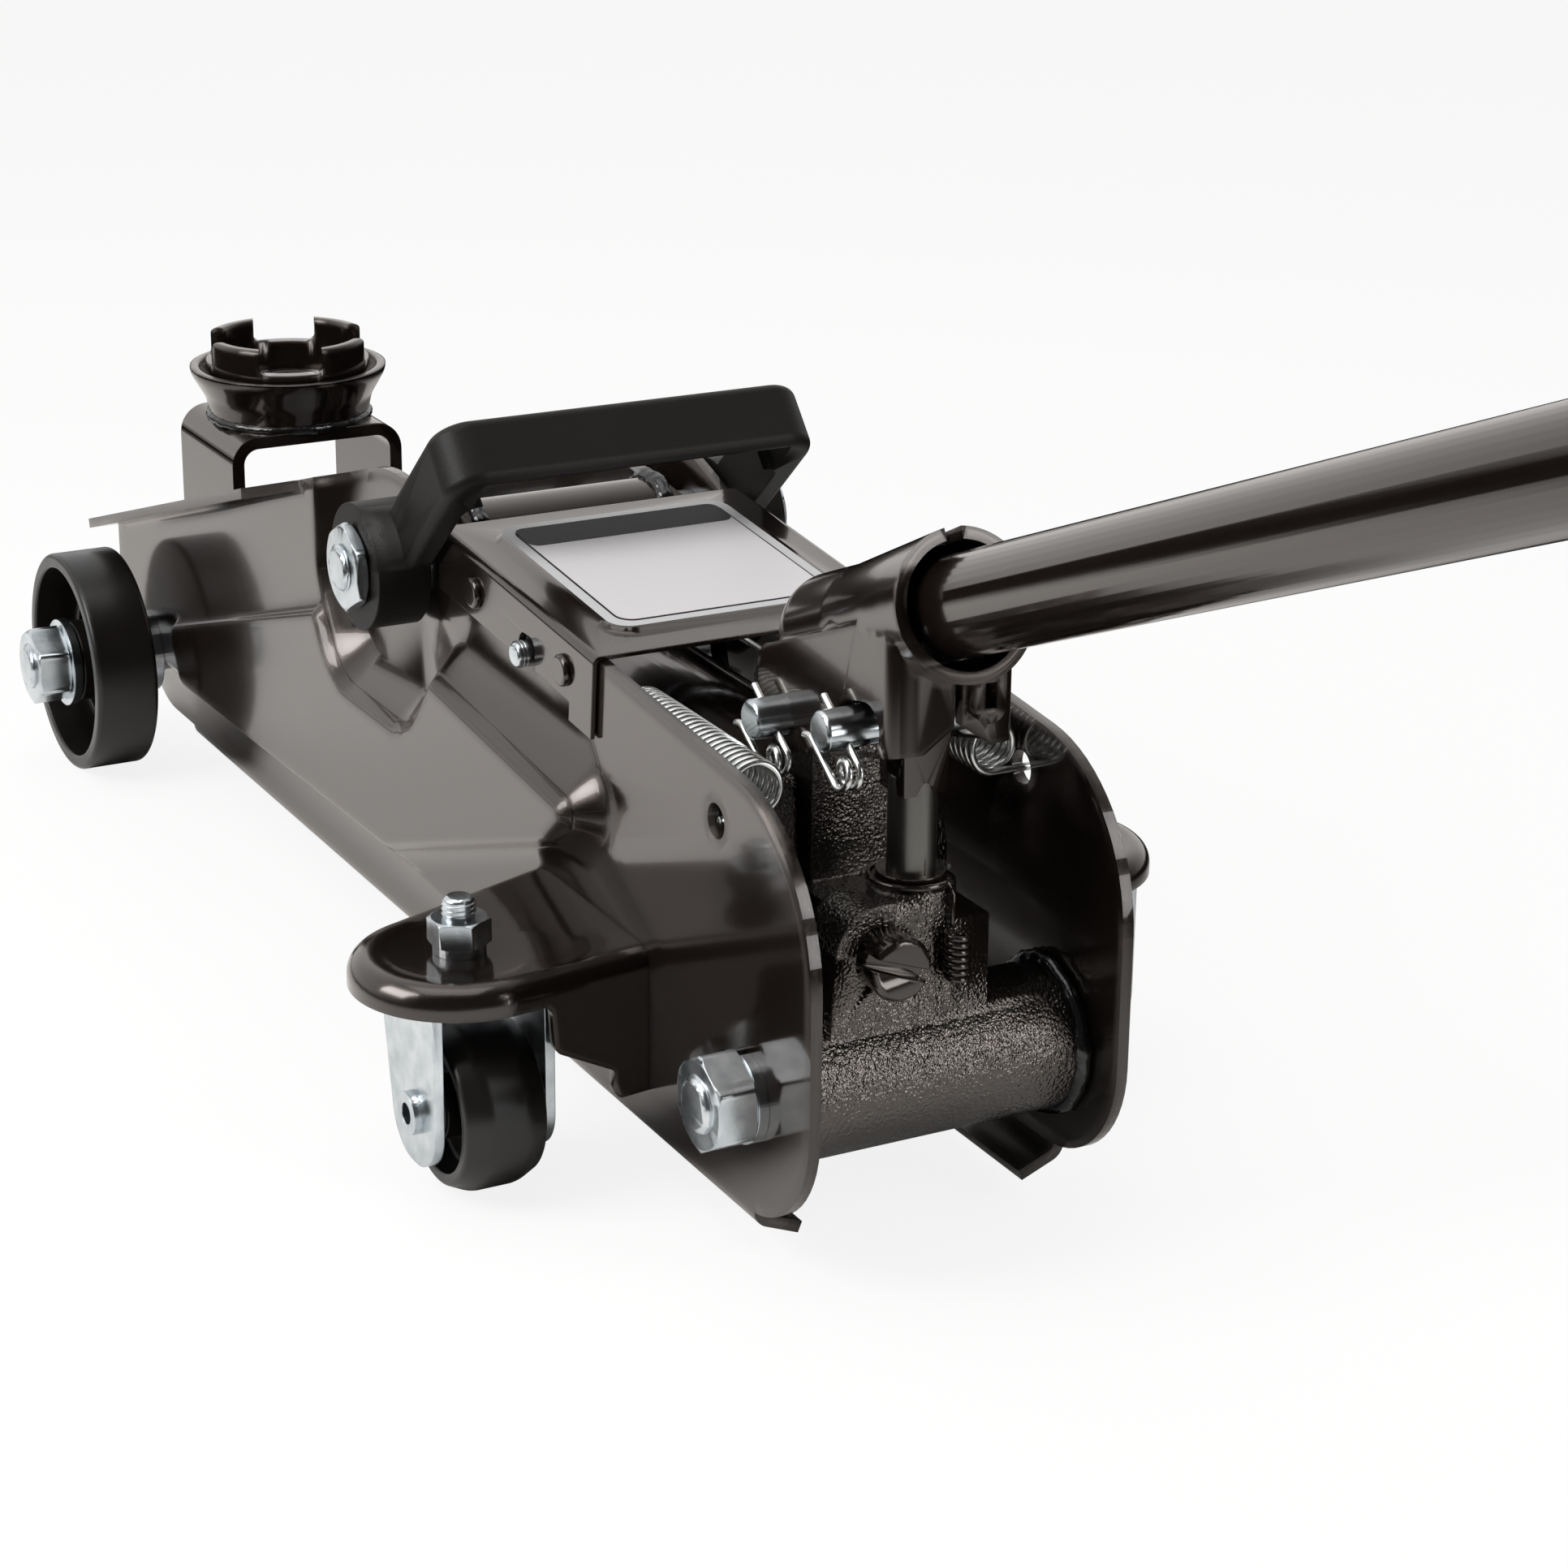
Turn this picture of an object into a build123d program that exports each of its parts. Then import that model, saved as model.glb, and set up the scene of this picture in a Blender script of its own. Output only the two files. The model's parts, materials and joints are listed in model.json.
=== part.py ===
import os
from math import acos, atan2, cos, degrees, dist, hypot, pi, radians, sin, sqrt, tan

from build123d import *

os.makedirs("parts", exist_ok=True)

# Trolley jack. X forward to the saddle, Y to the left, Z up, floor at zero, millimetres.
# While it is drawn, X is zero at the rear cross bolt. All parts are shifted together at the end.

# Clearances
running = 0.08
loose = 0.3
side_gap = 0.6

# Side plates
plate_t = 3.0
frame_half = 43.5
frame_inner = frame_half - plate_t
rear_x = -31.0
sill_z = 13.0
rear_low_r = 31.0
rear_top_r = 42.0
deck_z = 116.8
deck_slope = tan(radians(5.0))
deck_front_x = 181.0
nose_x = 436.0
nose_r = 26.0
brow_x = 428.0
brow_z = 76.0
brow_angle = radians(17.8)
hump_x = 212.0
hump_r = 60.0
bend_r = 5.0
band_raise = 8.0
band_half = frame_half + band_raise
band_inner = frame_inner + band_raise
brow_out = 12.5
brow_reach = band_half + brow_out
brow_full_x = 280.0
brow_end_x = 262.0
panel_raise = 11.0
panel_half = frame_half + panel_raise
panel_inner = frame_inner + panel_raise
panel_crease = 2.5
sill_in = 11.9
sill_reach = frame_half - sill_in
sill_drop = radians(22.0)
sill_front_x = 392.0
sill_rear_x = -4.0
hook_hole_r = 4.4

# Outline of the raised panel
panel_drop = 29.0
panel_front_x = 398.0
panel_front_round = 15.0
panel_toe_x = 378.0
panel_toe_z = 24.0
panel_toe_round = 16.0
panel_turn_x = 246.0
panel_round = 13.0
dip_front_x = 233.0
dip_rear_x = 188.0
dip_z = 86.0
dip_round = 14.0
horn_x = 170.0
horn_z = 108.0
tail_x = 54.0
tail_z = 97.0
tail_low_x = 86.0
tail_low_z = 69.0
tail_round = 18.0
belly_x = 200.0
belly_z = 28.0
belly_round = 30.0


def deck_at(x):
    return deck_z + (x - rear_x) * deck_slope


def brow_at(x):
    return brow_z + (brow_x - x) * tan(brow_angle)


# Rear cross bolt and hexagon nuts
bolt_r = 7.0
bolt_z = 42.5
bolt_bevel = 1.2
thread_out = 1.5
nut_across = 22.0
nut_h = 10.4
washer_t = 2.8
washer_r = 11.5

# Front axle and wheels
axle_x = 408.0
axle_r = 7.0
wheel_r = 35.2
wheel_w = 20.0
wheel_set = 9.5
wheel_inner = band_half + wheel_set
wheel_rim_t = 4.6
wheel_web = 4.5
wheel_hub_r = 13.0
wheel_hub_w = 17.5
wheel_round = 1.6
wheel_corner = 0.8
bead_half = 1.5
front_washer_r = 14.0

# Lift arm
pivot_x = 198.0
pivot_z = 122.0
pivot_shaft_r = 9.0
tube_r = 14.0
arm_t = 5.0
arm_head_r = 21.0
saddle_x = 410.0
saddle_pin_z = 71.0
saddle_pin_r = 6.0
arm_eye_r = 11.0
crank_len = 45.0
crank_rest = radians(28.0)
crank_bar_r = 9.0
spring_eye = 17.85
heel_back = 24.0
heel_rise = 8.0
heel_round = 16.0
crank_back = 15.5
crank_rise = 4.0
crank_toe = 3.0
crank_drop = 16.5
crank_fore = 15.0
crank_fore_drop = 9.0
crank_round = 9.0
neck_fore = 40.0
neck_drop = 30.0
arm_round = 30.0
wrist_back = 30.0
wrist_drop = 12.0
hand_back = 16.0
hand_rise = 15.0
shoulder_fore = 22.0
shoulder_rise = 13.0
shoulder_round = 20.0
pin_head_t = 2.5
pin_head_out = 3.0

# Saddle and its bracket
strap_t = 4.0
link_gap = 0.8
link_t = 4.5
strap_half = frame_inner - link_gap - link_t - arm_t - 2 * side_gap
arm_inner = strap_half + side_gap
arm_outer = arm_inner + arm_t
strap_len = 49.0
strap_top = 108.5
strap_bend = 9.0
strap_foot_r = 9.0
leg_rear_rise = 6.0
leg_rear_round = 10.0
leg_toe_back = 4.0
leg_toe_drop = 8.0
leg_round = 14.0
link_dx = 12.0
link_dz = -22.0
link_pin_r = 4.0
link_half_h = 6.0
link_eye_r = 8.5
cup_rim_r = 31.6
cup_neck_r = 25.5
cup_rim_z = 125.4
cup_wall = 3.0
cup_floor = 3.0
cup_flare = 1.5
cup_waist = 7.0
cup_shoulder = 15.0
cup_foot_round = 2.0
cup_flare_round = 8.0
cup_shoulder_round = 6.0
cup_lip_round = 0.8
saddle_r = 26.2
saddle_wall = 4.2
saddle_low_z = 127.2
saddle_top_z = 135.0
saddle_floor_t = 5.0
saddle_stem_r = 8.0
saddle_round = 1.4
saddle_foot_in = 5.0
saddle_hip_in = 3.6
saddle_hip_drop = 8.5
saddle_skirt_drop = 1.0
notch_round = 2.0
notch_turn = 72.0
lug_count = 4
lug_share = 0.5

# Power unit
ram_z = 80.0
ram_r = 11.0
piston_r = 14.0
cylinder_r = 19.0
tank_r = 28.0
tank_t = 3.0
unit_face = 48.0
tank_front = 140.0
cap_t = 8.0
ram_back = 62.0
piston_len = 14.0
head_r = 14.0
head_t = 9.0
ram_gap = 0.7
cast_tube_r = 18.5
block_back = 10.0
block_half = 16.0
block_drop = 8.0
flange_t = 14.0
flange_out = 2.0
boss_top = 90.0
pump_boss_r = 10.8
plunger_r = 6.0
plunger_low = 64.0
bore_low = 52.0
gland_r = 8.6
gland_h = 3.0
valve_y = 13.0
valve_z = 76.0
valve_r = 8.0
valve_shank_r = 5.0
valve_face = -11.0
valve_out = 9.0
valve_slot = 3.0
valve_slot_depth = 4.5
valve_turn = 20.0
valve_bevel = 1.2
valve_front = 4.0
lug_r = 13.5
lug_flare = 1.5
lug_taper = 1.0
seal_half = 2.5
seal_depth = 2.5
bore_back = 4.0

# Pump socket and handle
clevis_x = 35.0
clevis_z = 123.0
lever_x = 0.0
lever_z = 131.0
clevis_pin_r = 5.0
cheek_inner = 13.6
cheek_t = 3.0
pin_end = 25.5
pin_short = 4.0
pin_bevel = 0.8
clevis_head_t = 2.5
clevis_head_out = 2.0
eye_trim = 0.4
eye_out = 2.6
eye_top = 7.0
eye_waist = 2.0
eye_neck = 14.0
eye_foot = 18.0
eye_round = 5.0
eye_waist_round = 3.0
lug_half = cheek_inner - side_gap
lug_eye_r = 9.0
handle_r = 12.1
handle_t = 2.0
handle_angle = radians(22.0)
handle_axis_z = 155.5
handle_front_x = 28.0
handle_len = 420.0
handle_cap_len = 9.0
socket_t = 3.0
socket_front_x = 46.0
socket_rear_x = -22.0
socket_nose_r = 10.0
flare_start = 30.0
flare_r = 18.2
flare_round = 40.0
socket_gap = 4.4
socket_gap_start = 8.0
cheek_front_out = 2.0
cheek_front_round = 7.0
cheek_low_fore = 11.0
cheek_low_drop = 12.0
cheek_tail_back = 20.0
cheek_tail_drop = 4.0
cheek_tail_round = 6.0
cheek_top_back = 8.0
fold_r = 6.0
fold_seam = 1.0
fold_low = 129.0
fold_rise = 5.5
ear_y = -5.7
ear_half = 4.0
ear_low = 136.0
ear_len = 5.0
ear_hole_half = 1.6
ear_hole_low = 139.5
ear_hole_high = 146.0
pin_slot_len = 7.6
pin_slot_ahead = 2.6
pin_slot_play = 1.3
fork_play = 0.4
fork_depth = 10.0
cap_inside = 6.0
cap_round = 4.0
clip_wire_r = 0.9
clip_coil_r = 3.4
clip_pitch = 2.6
clip_turns = 1.5
clip_out = 3.2
clip_angle = radians(215.0)
clip_reach = 5.5
clip_tail = 5.0
clip_over = 2.0
clip_flare_len = 4.0
clip_flare_rise = 2.5

# Return springs
wire_r = 1.0
coil_r = 6.2
coil_pitch = 2.6
coil_turns = 24
coil_set = 3.0
coil_y = arm_inner + coil_set
coil_start_x = 17.0
hook_bend = 3.0
hook_r = coil_y - arm_inner + hook_bend + loose

# Cover and cross stud
cover_t = 1.2
cover_gap = 0.3
cover_bend = 2.2
cover_fit = 0.5
cover_half = frame_half + cover_fit + cover_t
cover_rear_x = 81.0
cover_front_x = 177.0
cover_skirt = 16.0
cover_tab = 21.0
cover_tab_len = 13.0
pad_raise = 1.6
pad_margin = 9.0
pad_round = 9.0
stud_x = 121.0
stud_z = 117.5
stud_r = 3.5
stud_out = 3.8
stud_end = cover_half + stud_out
stud_bevel = 0.8
stud_room = 1.5
cover_screw_r = 2.2
cover_screw_x = (154.0, 98.5)
cover_screw_drop = 8.5
cover_screw_in = 3.0
screw_head_r = 4.2
screw_head_t = 1.6
screw_dome = 1.0

# Carry handle
boss_r = 17.4
boss_gap = 3.0
boss_w = 15.0
boss_in = frame_half + boss_gap
boss_out = boss_in + boss_w
grip_lean = radians(48.0)
grip_rise = 55.5
grip_arm = 7.5
grip_end = boss_in + grip_arm
grip_half_w = 9.5
grip_h = 15.0
grip_wall = 2.6
grip_round = 10.0
grip_inner_round = 5.0
grip_edge = 3.0
grip_open = 1.0
grip_side_wall = 2.0
leg_trim = 8.0
shoulder_out = 0.5
shaft_nut_h = 3.4
shaft_nut_across = 22.0
shaft_thread_r = 6.2
shaft_out = 5.5
shaft_end = boss_out + shaft_out
shaft_bevel = 1.0

# Rear casters
king_x = 75.0
king_out = 41.5
king_y = frame_half + king_out
disc_r = 28.0
disc_z = 60.0
disc_t = 3.0
lip_h = 8.0
lip_round = 5.5
dimple_r = 19.0
dimple_depth = 0.6
bracket_rear = 53.0
bracket_front = 121.0
gusset_low = 22.0
gusset_w = 10.5
gusset_step = 30.0
gusset_arm = 39.2
gusset_arm_out = 27.5
gusset_end_out = 28.5
gusset_round = 3.0
shelf_over = 1.0
web_ahead = 0.93
web_ahead_out = 0.36
web_behind = 0.99
web_behind_in = 0.13
king_r = 4.0
king_top = 74.0
king_bevel = 1.0
king_head_t = 4.2
king_head_out = 3.0
king_ring_out = 2.7
king_nut_across = 14.0
king_nut_h = 6.8
king_washer_t = 2.4
fork_t = 2.6
fork_half_w = 12.5
caster_r = 22.2
caster_w = 22.0
fork_gap = 2.6
caster_trail = 8.0
fork_swing_r = 22.6
fork_bend = 2.0
fork_foot = 14.0
fork_trim = 0.2
fork_brow = 8.0
fork_brow_round = 4.0
rivet_r = 4.0
rivet_head_r = 5.6
rivet_head_t = 2.4
rivet_wall = 1.2
hub_wall = 4.0
rim_wall = 5.5
rim_crown = 2.6
crown_round = 8.0
rim_round = 1.6
hub_round = 0.6
web_round = 1.0


# Faces and bodies
def outline(*corners):
    edges = []
    joins = []
    for i, (x, y, r) in enumerate(corners):
        px, py, _ = corners[i - 1]
        nx, ny, _ = corners[(i + 1) % len(corners)]
        ax, ay = (px - x) / hypot(px - x, py - y), (py - y) / hypot(px - x, py - y)
        bx, by = (nx - x) / hypot(nx - x, ny - y), (ny - y) / hypot(nx - x, ny - y)
        half = acos(ax * bx + ay * by) / 2
        cut = r / tan(half)
        mx, my = (ax + bx) / (2 * cos(half)), (ay + by) / (2 * cos(half))
        depth = r / sin(half) - r
        start = (x + ax * cut, y + ay * cut)
        end = (x + bx * cut, y + by * cut)
        joins.append((start, end))
        if r > 0:
            edges.append(ThreePointArc(start, (x + mx * depth, y + my * depth), end))
    for i, (start, end) in enumerate(joins):
        edges.append(Line(end, joins[(i + 1) % len(joins)][0]))
    return make_face(edges)


def slab(face, low, high):
    plane = Plane(origin=(0, high, 0), x_dir=(1, 0, 0), z_dir=(0, -1, 0))
    return extrude(plane * face, amount=high - low, dir=(0, -1, 0))


def run(face, low, high):
    plane = Plane(origin=(low, 0, 0), x_dir=(0, 1, 0), z_dir=(1, 0, 0))
    return extrude(plane * face, amount=high - low, dir=(1, 0, 0))


def level(face, low, high):
    return extrude(Pos(0, 0, low) * face, amount=high - low, dir=(0, 0, 1))


def disc(r, length):
    return Cylinder(r, length, align=(Align.CENTER, Align.CENTER, Align.MIN))


def bar_x(y, z, r, low, high):
    return Plane(origin=(low, y, z), x_dir=(0, 1, 0), z_dir=(1, 0, 0)) * disc(r, high - low)


def bar_y(x, z, r, low, high):
    return Plane(origin=(x, low, z), x_dir=(1, 0, 0), z_dir=(0, 1, 0)) * disc(r, high - low)


def bar_z(x, y, r, low, high):
    return Pos(x, y, low) * disc(r, high - low)


def block(x0, x1, y0, y1, z0, z1):
    return Pos((x0 + x1) / 2, (y0 + y1) / 2, (z0 + z1) / 2) * Box(x1 - x0, y1 - y0, z1 - z0)


def mirrored(part):
    return mirror(part, about=Plane.XZ)


def both(part):
    return [part, mirrored(part)]


def hex_nut(across, bore, height):
    corner = across / sqrt(3)
    bevel = corner - across / 2
    trim = chamfer(disc(corner, height).edges().filter_by(GeomType.CIRCLE), bevel / 2, bevel)
    prism = extrude(RegularPolygon(across / 2, 6, major_radius=False), amount=height)
    return (prism & trim) - disc(bore, height)


def along_y(part, x, y, z):
    return Plane(origin=(x, y, z), x_dir=(0, 0, 1), z_dir=(0, 1, 0)) * part


def turned_y(face, x, y, z):
    return Pos(x, y, z) * revolve(face, axis=Axis.Y)


def turned_z(face, x, y, z):
    return Pos(x, y, z) * revolve(Plane.XZ * face, axis=-Axis.Z)


# Wire forms, made of arcs that meet at a tangent
def biarc(p0, t0, p1, t1):
    v = p1 - p0
    t = t0 + t1
    k = 2 * (1 - t0.dot(t1))
    d = (-v.dot(t) + sqrt(v.dot(t) ** 2 + k * v.dot(v))) / k
    q0 = p0 + t0 * d
    q1 = p1 - t1 * d
    mid = (q0 + q1) / 2
    return [TangentArc(p0, mid, tangent=t0), TangentArc(mid, p1, tangent=q1 - q0)]


def coil(centre, axis, start, side, r, pitch, turns, t_first, t_last):
    points = []
    for k in range(int(turns * 2) + 1):
        a = k * pi
        p = centre + axis * (pitch * k / 2) + (start * cos(a) + side * sin(a)) * r
        t = (axis * (pitch / (2 * pi)) + (side * cos(a) - start * sin(a)) * r).normalized()
        points.append((p, t))
    points[0] = (points[0][0], t_first)
    points[-1] = (points[-1][0], t_last)
    edges = []
    for (p0, t0), (p1, t1) in zip(points, points[1:]):
        edges += biarc(p0, t0, p1, t1)
    return edges, points[0][0], points[-1][0]


def tube_along(edges, r):
    path = Wire(edges)
    section = Plane(origin=path @ 0, z_dir=path % 0) * Circle(r)
    return sweep(section, path=path)


X, Y, Z = Vector(1, 0, 0), Vector(0, 1, 0), Vector(0, 0, 1)
parts = {}

# Side plates, pressed with a brow flange, an inturned sill and a raised panel
plate_face = outline(
    (rear_x, sill_z, rear_low_r),
    (nose_x, sill_z, nose_r),
    (nose_x, brow_at(nose_x), bend_r),
    (hump_x, brow_at(hump_x), hump_r),
    (deck_front_x, deck_at(deck_front_x), bend_r),
    (rear_x, deck_z, rear_top_r),
)
panel_rear = (
    (panel_turn_x, brow_at(panel_turn_x) - panel_drop, panel_round),
    (dip_front_x, dip_z, dip_round),
    (dip_rear_x, dip_z, dip_round),
    (horn_x, horn_z, panel_round),
    (tail_x, tail_z, panel_round),
    (tail_low_x, tail_low_z, tail_round),
    (belly_x, belly_z, belly_round),
)
panel_face = outline(
    (panel_front_x, brow_at(panel_front_x) - panel_drop, panel_front_round),
    *panel_rear,
    (panel_toe_x, panel_toe_z, panel_toe_round),
)
band_face = outline(
    (2 * nose_x, panel_toe_z, 0),
    (2 * nose_x, 2 * deck_z, 0),
    (panel_turn_x, 2 * deck_z, 0),
    *panel_rear,
)


def pressed(face, low, high):
    plane = Plane(origin=(0, low, 0), x_dir=(-1, 0, 0), z_dir=(0, 1, 0))
    return extrude(plane * mirror(face, about=Plane.YZ), amount=high - low, taper=45)


def crowned(part, y):
    crown = part.edges().filter_by(lambda e: abs(e.center().Y - y) < running)
    return fillet(crown, panel_crease)


wall = plate_t * (sqrt(2) - 1)
band = crowned(pressed(band_face, frame_half, band_half), band_half)
panel = pressed(offset(panel_face, amount=-band_raise), band_half, panel_half)
lift = band & slab(plate_face, frame_half, band_half)
lift = lift + crowned(panel, panel_half)
band_hollow = pressed(offset(band_face, amount=-wall), frame_inner, band_inner)
panel_hollow = pressed(offset(panel_face, amount=-band_raise - wall), band_inner, panel_inner)
plate = slab(plate_face, frame_inner, frame_half) + lift - band_hollow - panel_hollow
brow_plane = Plane(
    origin=(brow_x, 0, brow_z),
    x_dir=(0, 1, 0),
    z_dir=(-cos(brow_angle), 0, sin(brow_angle)),
)
brow_face = outline(
    (band_inner, 3 * bend_r, 0),
    (band_inner, 0, bend_r),
    (brow_reach, 0, 0),
    (brow_reach, plate_t, 0),
    (band_half, plate_t, bend_r - plate_t),
    (band_half, 3 * bend_r, 0),
)
brow = extrude(brow_plane * brow_face, amount=(brow_x - brow_end_x) / cos(brow_angle))
runout = outline(
    (brow_full_x, brow_reach, 0),
    (brow_end_x, band_half, 0),
    (brow_end_x - brow_reach, band_half, 0),
    (brow_end_x - brow_reach, 2 * brow_reach, 0),
    (brow_full_x, 2 * brow_reach, 0),
)
brow = brow - level(runout, 0, 2 * brow_at(hump_x))
sill_tip = sill_z - plate_t - (frame_half - sill_reach) * tan(sill_drop)
lip_x, lip_z = plate_t * sin(sill_drop), plate_t * cos(sill_drop)
sill_root = sill_tip + lip_z + (frame_inner - sill_reach + lip_x) * tan(sill_drop)
sill_face = outline(
    (frame_half, sill_z + bend_r, 0),
    (frame_half, sill_z - plate_t, bend_r),
    (sill_reach, sill_tip, 0),
    (sill_reach - lip_x, sill_tip + lip_z, 0),
    (frame_inner, sill_root, bend_r - plate_t),
    (frame_inner, sill_z + bend_r, 0),
)
sill = run(sill_face, sill_rear_x, sill_front_x)
hook_z = pivot_z - spring_eye * cos(crank_rest)
plate = plate + brow + sill
plate = plate - bar_y(0, bolt_z, bolt_r + loose, frame_inner, frame_half)
plate = plate - bar_y(axle_x, wheel_r, axle_r + running, frame_inner, brow_reach)
plate = plate - bar_y(pivot_x, pivot_z, pivot_shaft_r + running, frame_inner, frame_half)
plate = plate - bar_y(stud_x, stud_z, stud_r + running, frame_inner, frame_half)
plate = plate - bar_y(coil_start_x, hook_z, hook_hole_r, frame_inner, frame_half)
for screw_x in cover_screw_x:
    screw_z = deck_at(screw_x) - cover_screw_drop
    plate = plate - bar_y(screw_x, screw_z, cover_screw_r + running, frame_inner, frame_half)
parts["left_side_plate"] = plate
parts["right_side_plate"] = mirrored(plate)

# Rear cross bolt, its nuts and spring washers
bolt_tip = frame_half + washer_t + nut_h + thread_out
parts["rear_cross_bolt"] = chamfer(
    bar_y(0, bolt_z, bolt_r, -bolt_tip, bolt_tip).edges().filter_by(GeomType.CIRCLE), bolt_bevel
)
split = block(0, 2 * washer_r, -washer_t, 2 * washer_t, -washer_t / 2, washer_t / 2)
ring = disc(washer_r, washer_t) - disc(bolt_r + running, washer_t)
ring = ring - Rot(90, 0, 0) * split
parts["rear_spring_washers"] = both(along_y(ring, 0, frame_half, bolt_z))
parts["rear_nuts"] = both(
    along_y(hex_nut(nut_across, bolt_r, nut_h), 0, frame_half + washer_t, bolt_z)
)

# Front axle, spacers, wheels, washers and nuts
hub_face = wheel_inner + wheel_hub_w
nut_face = hub_face + side_gap + washer_t
axle_tip = nut_face + nut_h + thread_out
parts["front_axle"] = chamfer(
    bar_y(axle_x, wheel_r, axle_r, -axle_tip, axle_tip).edges().filter_by(GeomType.CIRCLE), bolt_bevel
)
spacer = bar_y(axle_x, wheel_r, wheel_hub_r, band_half, wheel_inner - side_gap)
parts["front_axle_spacers"] = both(
    spacer - bar_y(axle_x, wheel_r, axle_r, band_half, wheel_inner)
)
washer = bar_y(axle_x, wheel_r, front_washer_r, hub_face + side_gap, nut_face)
parts["front_washers"] = both(
    washer - bar_y(axle_x, wheel_r, axle_r, hub_face, nut_face)
)
parts["front_nuts"] = both(
    along_y(hex_nut(nut_across, axle_r, nut_h), axle_x, nut_face, wheel_r)
)
ring_r = (wheel_r - wheel_rim_t + wheel_hub_r) / 2
wheel_face = outline(
    (axle_r + running, 0, 0),
    (wheel_r, 0, wheel_round),
    (wheel_r, wheel_w, wheel_round),
    (wheel_r - wheel_rim_t, wheel_w, wheel_corner),
    (wheel_r - wheel_rim_t, wheel_web, wheel_round),
    (ring_r + bead_half, wheel_web, 0),
    (ring_r + bead_half, 2 * wheel_web, bead_half / 2),
    (ring_r - bead_half, 2 * wheel_web, bead_half / 2),
    (ring_r - bead_half, wheel_web, 0),
    (wheel_hub_r, wheel_web, wheel_round),
    (wheel_hub_r, wheel_hub_w, wheel_corner),
    (axle_r + running, wheel_hub_w, 0),
)
front_wheel = turned_y(wheel_face, axle_x, wheel_inner, wheel_r)
parts["left_front_wheel"] = front_wheel
parts["right_front_wheel"] = mirrored(front_wheel)

# Lift arm: two plates, the pivot tube between them, the crank bar and the saddle pin
crank_x = pivot_x - crank_len * sin(crank_rest)
crank_z = pivot_z - crank_len * cos(crank_rest)
hook_x = pivot_x - spring_eye * sin(crank_rest)
arm_face = outline(
    (pivot_x - heel_back, pivot_z + heel_rise, heel_round),
    (crank_x - crank_back, crank_z + crank_rise, crank_round),
    (crank_x - crank_toe, crank_z - crank_drop, crank_round),
    (crank_x + crank_fore, crank_z - crank_fore_drop, crank_round),
    (pivot_x + neck_fore, pivot_z - neck_drop, arm_round),
    (saddle_x - wrist_back, saddle_pin_z - wrist_drop, arm_round),
    (saddle_x + arm_eye_r, saddle_pin_z - arm_eye_r, arm_eye_r - side_gap),
    (saddle_x + arm_eye_r, saddle_pin_z + arm_eye_r - pin_head_out, crank_round),
    (saddle_x - hand_back, saddle_pin_z + hand_rise, arm_round),
    (pivot_x + shoulder_fore, pivot_z + shoulder_rise, shoulder_round),
)
arm = slab(arm_face, arm_inner, arm_outer)
arm = arm - bar_y(pivot_x, pivot_z, pivot_shaft_r + running, arm_inner, arm_outer)
arm = arm - bar_y(crank_x, crank_z, crank_bar_r, arm_inner, arm_outer)
arm = arm - bar_y(saddle_x, saddle_pin_z, saddle_pin_r, arm_inner, arm_outer)
arm = arm - bar_y(hook_x, hook_z, wire_r + loose, arm_inner, arm_outer)
parts["left_arm_plate"] = arm
parts["right_arm_plate"] = mirrored(arm)
tube = bar_y(pivot_x, pivot_z, tube_r, -arm_inner, arm_inner)
parts["arm_pivot_tube"] = tube - bar_y(
    pivot_x, pivot_z, pivot_shaft_r + running, -arm_inner, arm_inner
)
parts["crank_bar"] = bar_y(crank_x, crank_z, crank_bar_r, -arm_outer, arm_outer)
pin_head_y = arm_outer + pin_head_t
pin_head_r = saddle_pin_r + pin_head_out
saddle_pin = bar_y(saddle_x, saddle_pin_z, saddle_pin_r, -pin_head_y, arm_outer)
saddle_pin = saddle_pin + bar_y(saddle_x, saddle_pin_z, pin_head_r, arm_outer, pin_head_y)
parts["saddle_pin"] = saddle_pin
clip = bar_y(saddle_x, saddle_pin_z, pin_head_r, -arm_outer - pin_head_t / 2, -arm_outer)
parts["saddle_pin_clip"] = clip - bar_y(saddle_x, saddle_pin_z, saddle_pin_r, -pin_head_y, 0)

# Pivot shaft with shoulders, and the thin scalloped nuts outside the carry handle
nut_y = boss_out + shoulder_out
shaft = bar_y(pivot_x, pivot_z, pivot_shaft_r, -nut_y, nut_y)
shaft = shaft + bar_y(pivot_x, pivot_z, shaft_thread_r, -shaft_end, shaft_end)
shaft_rims = shaft.edges().filter_by(lambda e: abs(abs(e.center().Y) - shaft_end) < running)
parts["arm_pivot_shaft"] = chamfer(shaft_rims, shaft_bevel)
parts["pivot_nuts"] = both(
    along_y(hex_nut(shaft_nut_across, shaft_thread_r, shaft_nut_h), pivot_x, nut_y, pivot_z)
)

# Level links, with their studs on the plates and their pin in the saddle bracket
link_y = arm_outer + side_gap
anchor_x, anchor_z = pivot_x + link_dx, pivot_z + link_dz
foot_x, foot_z = saddle_x + link_dx, saddle_pin_z + link_dz
link_angle = degrees(atan2(foot_z - anchor_z, foot_x - anchor_x))
link_len = hypot(foot_z - anchor_z, foot_x - anchor_x)
link_shape = Rectangle(link_len, 2 * link_half_h) + Pos(-link_len / 2, 0) * Circle(link_eye_r)
link_shape = link_shape + Pos(link_len / 2, 0) * Circle(link_eye_r)
link_shape = link_shape - Pos(-link_len / 2, 0) * Circle(link_pin_r + running)
link_shape = link_shape - Pos(link_len / 2, 0) * Circle(link_pin_r + loose)
link_mid = Pos((anchor_x + foot_x) / 2, (anchor_z + foot_z) / 2)
link = slab(link_mid * Rot(0, 0, link_angle) * link_shape, link_y, link_y + link_t)
parts["left_level_link"] = link
parts["right_level_link"] = mirrored(link)
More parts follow.
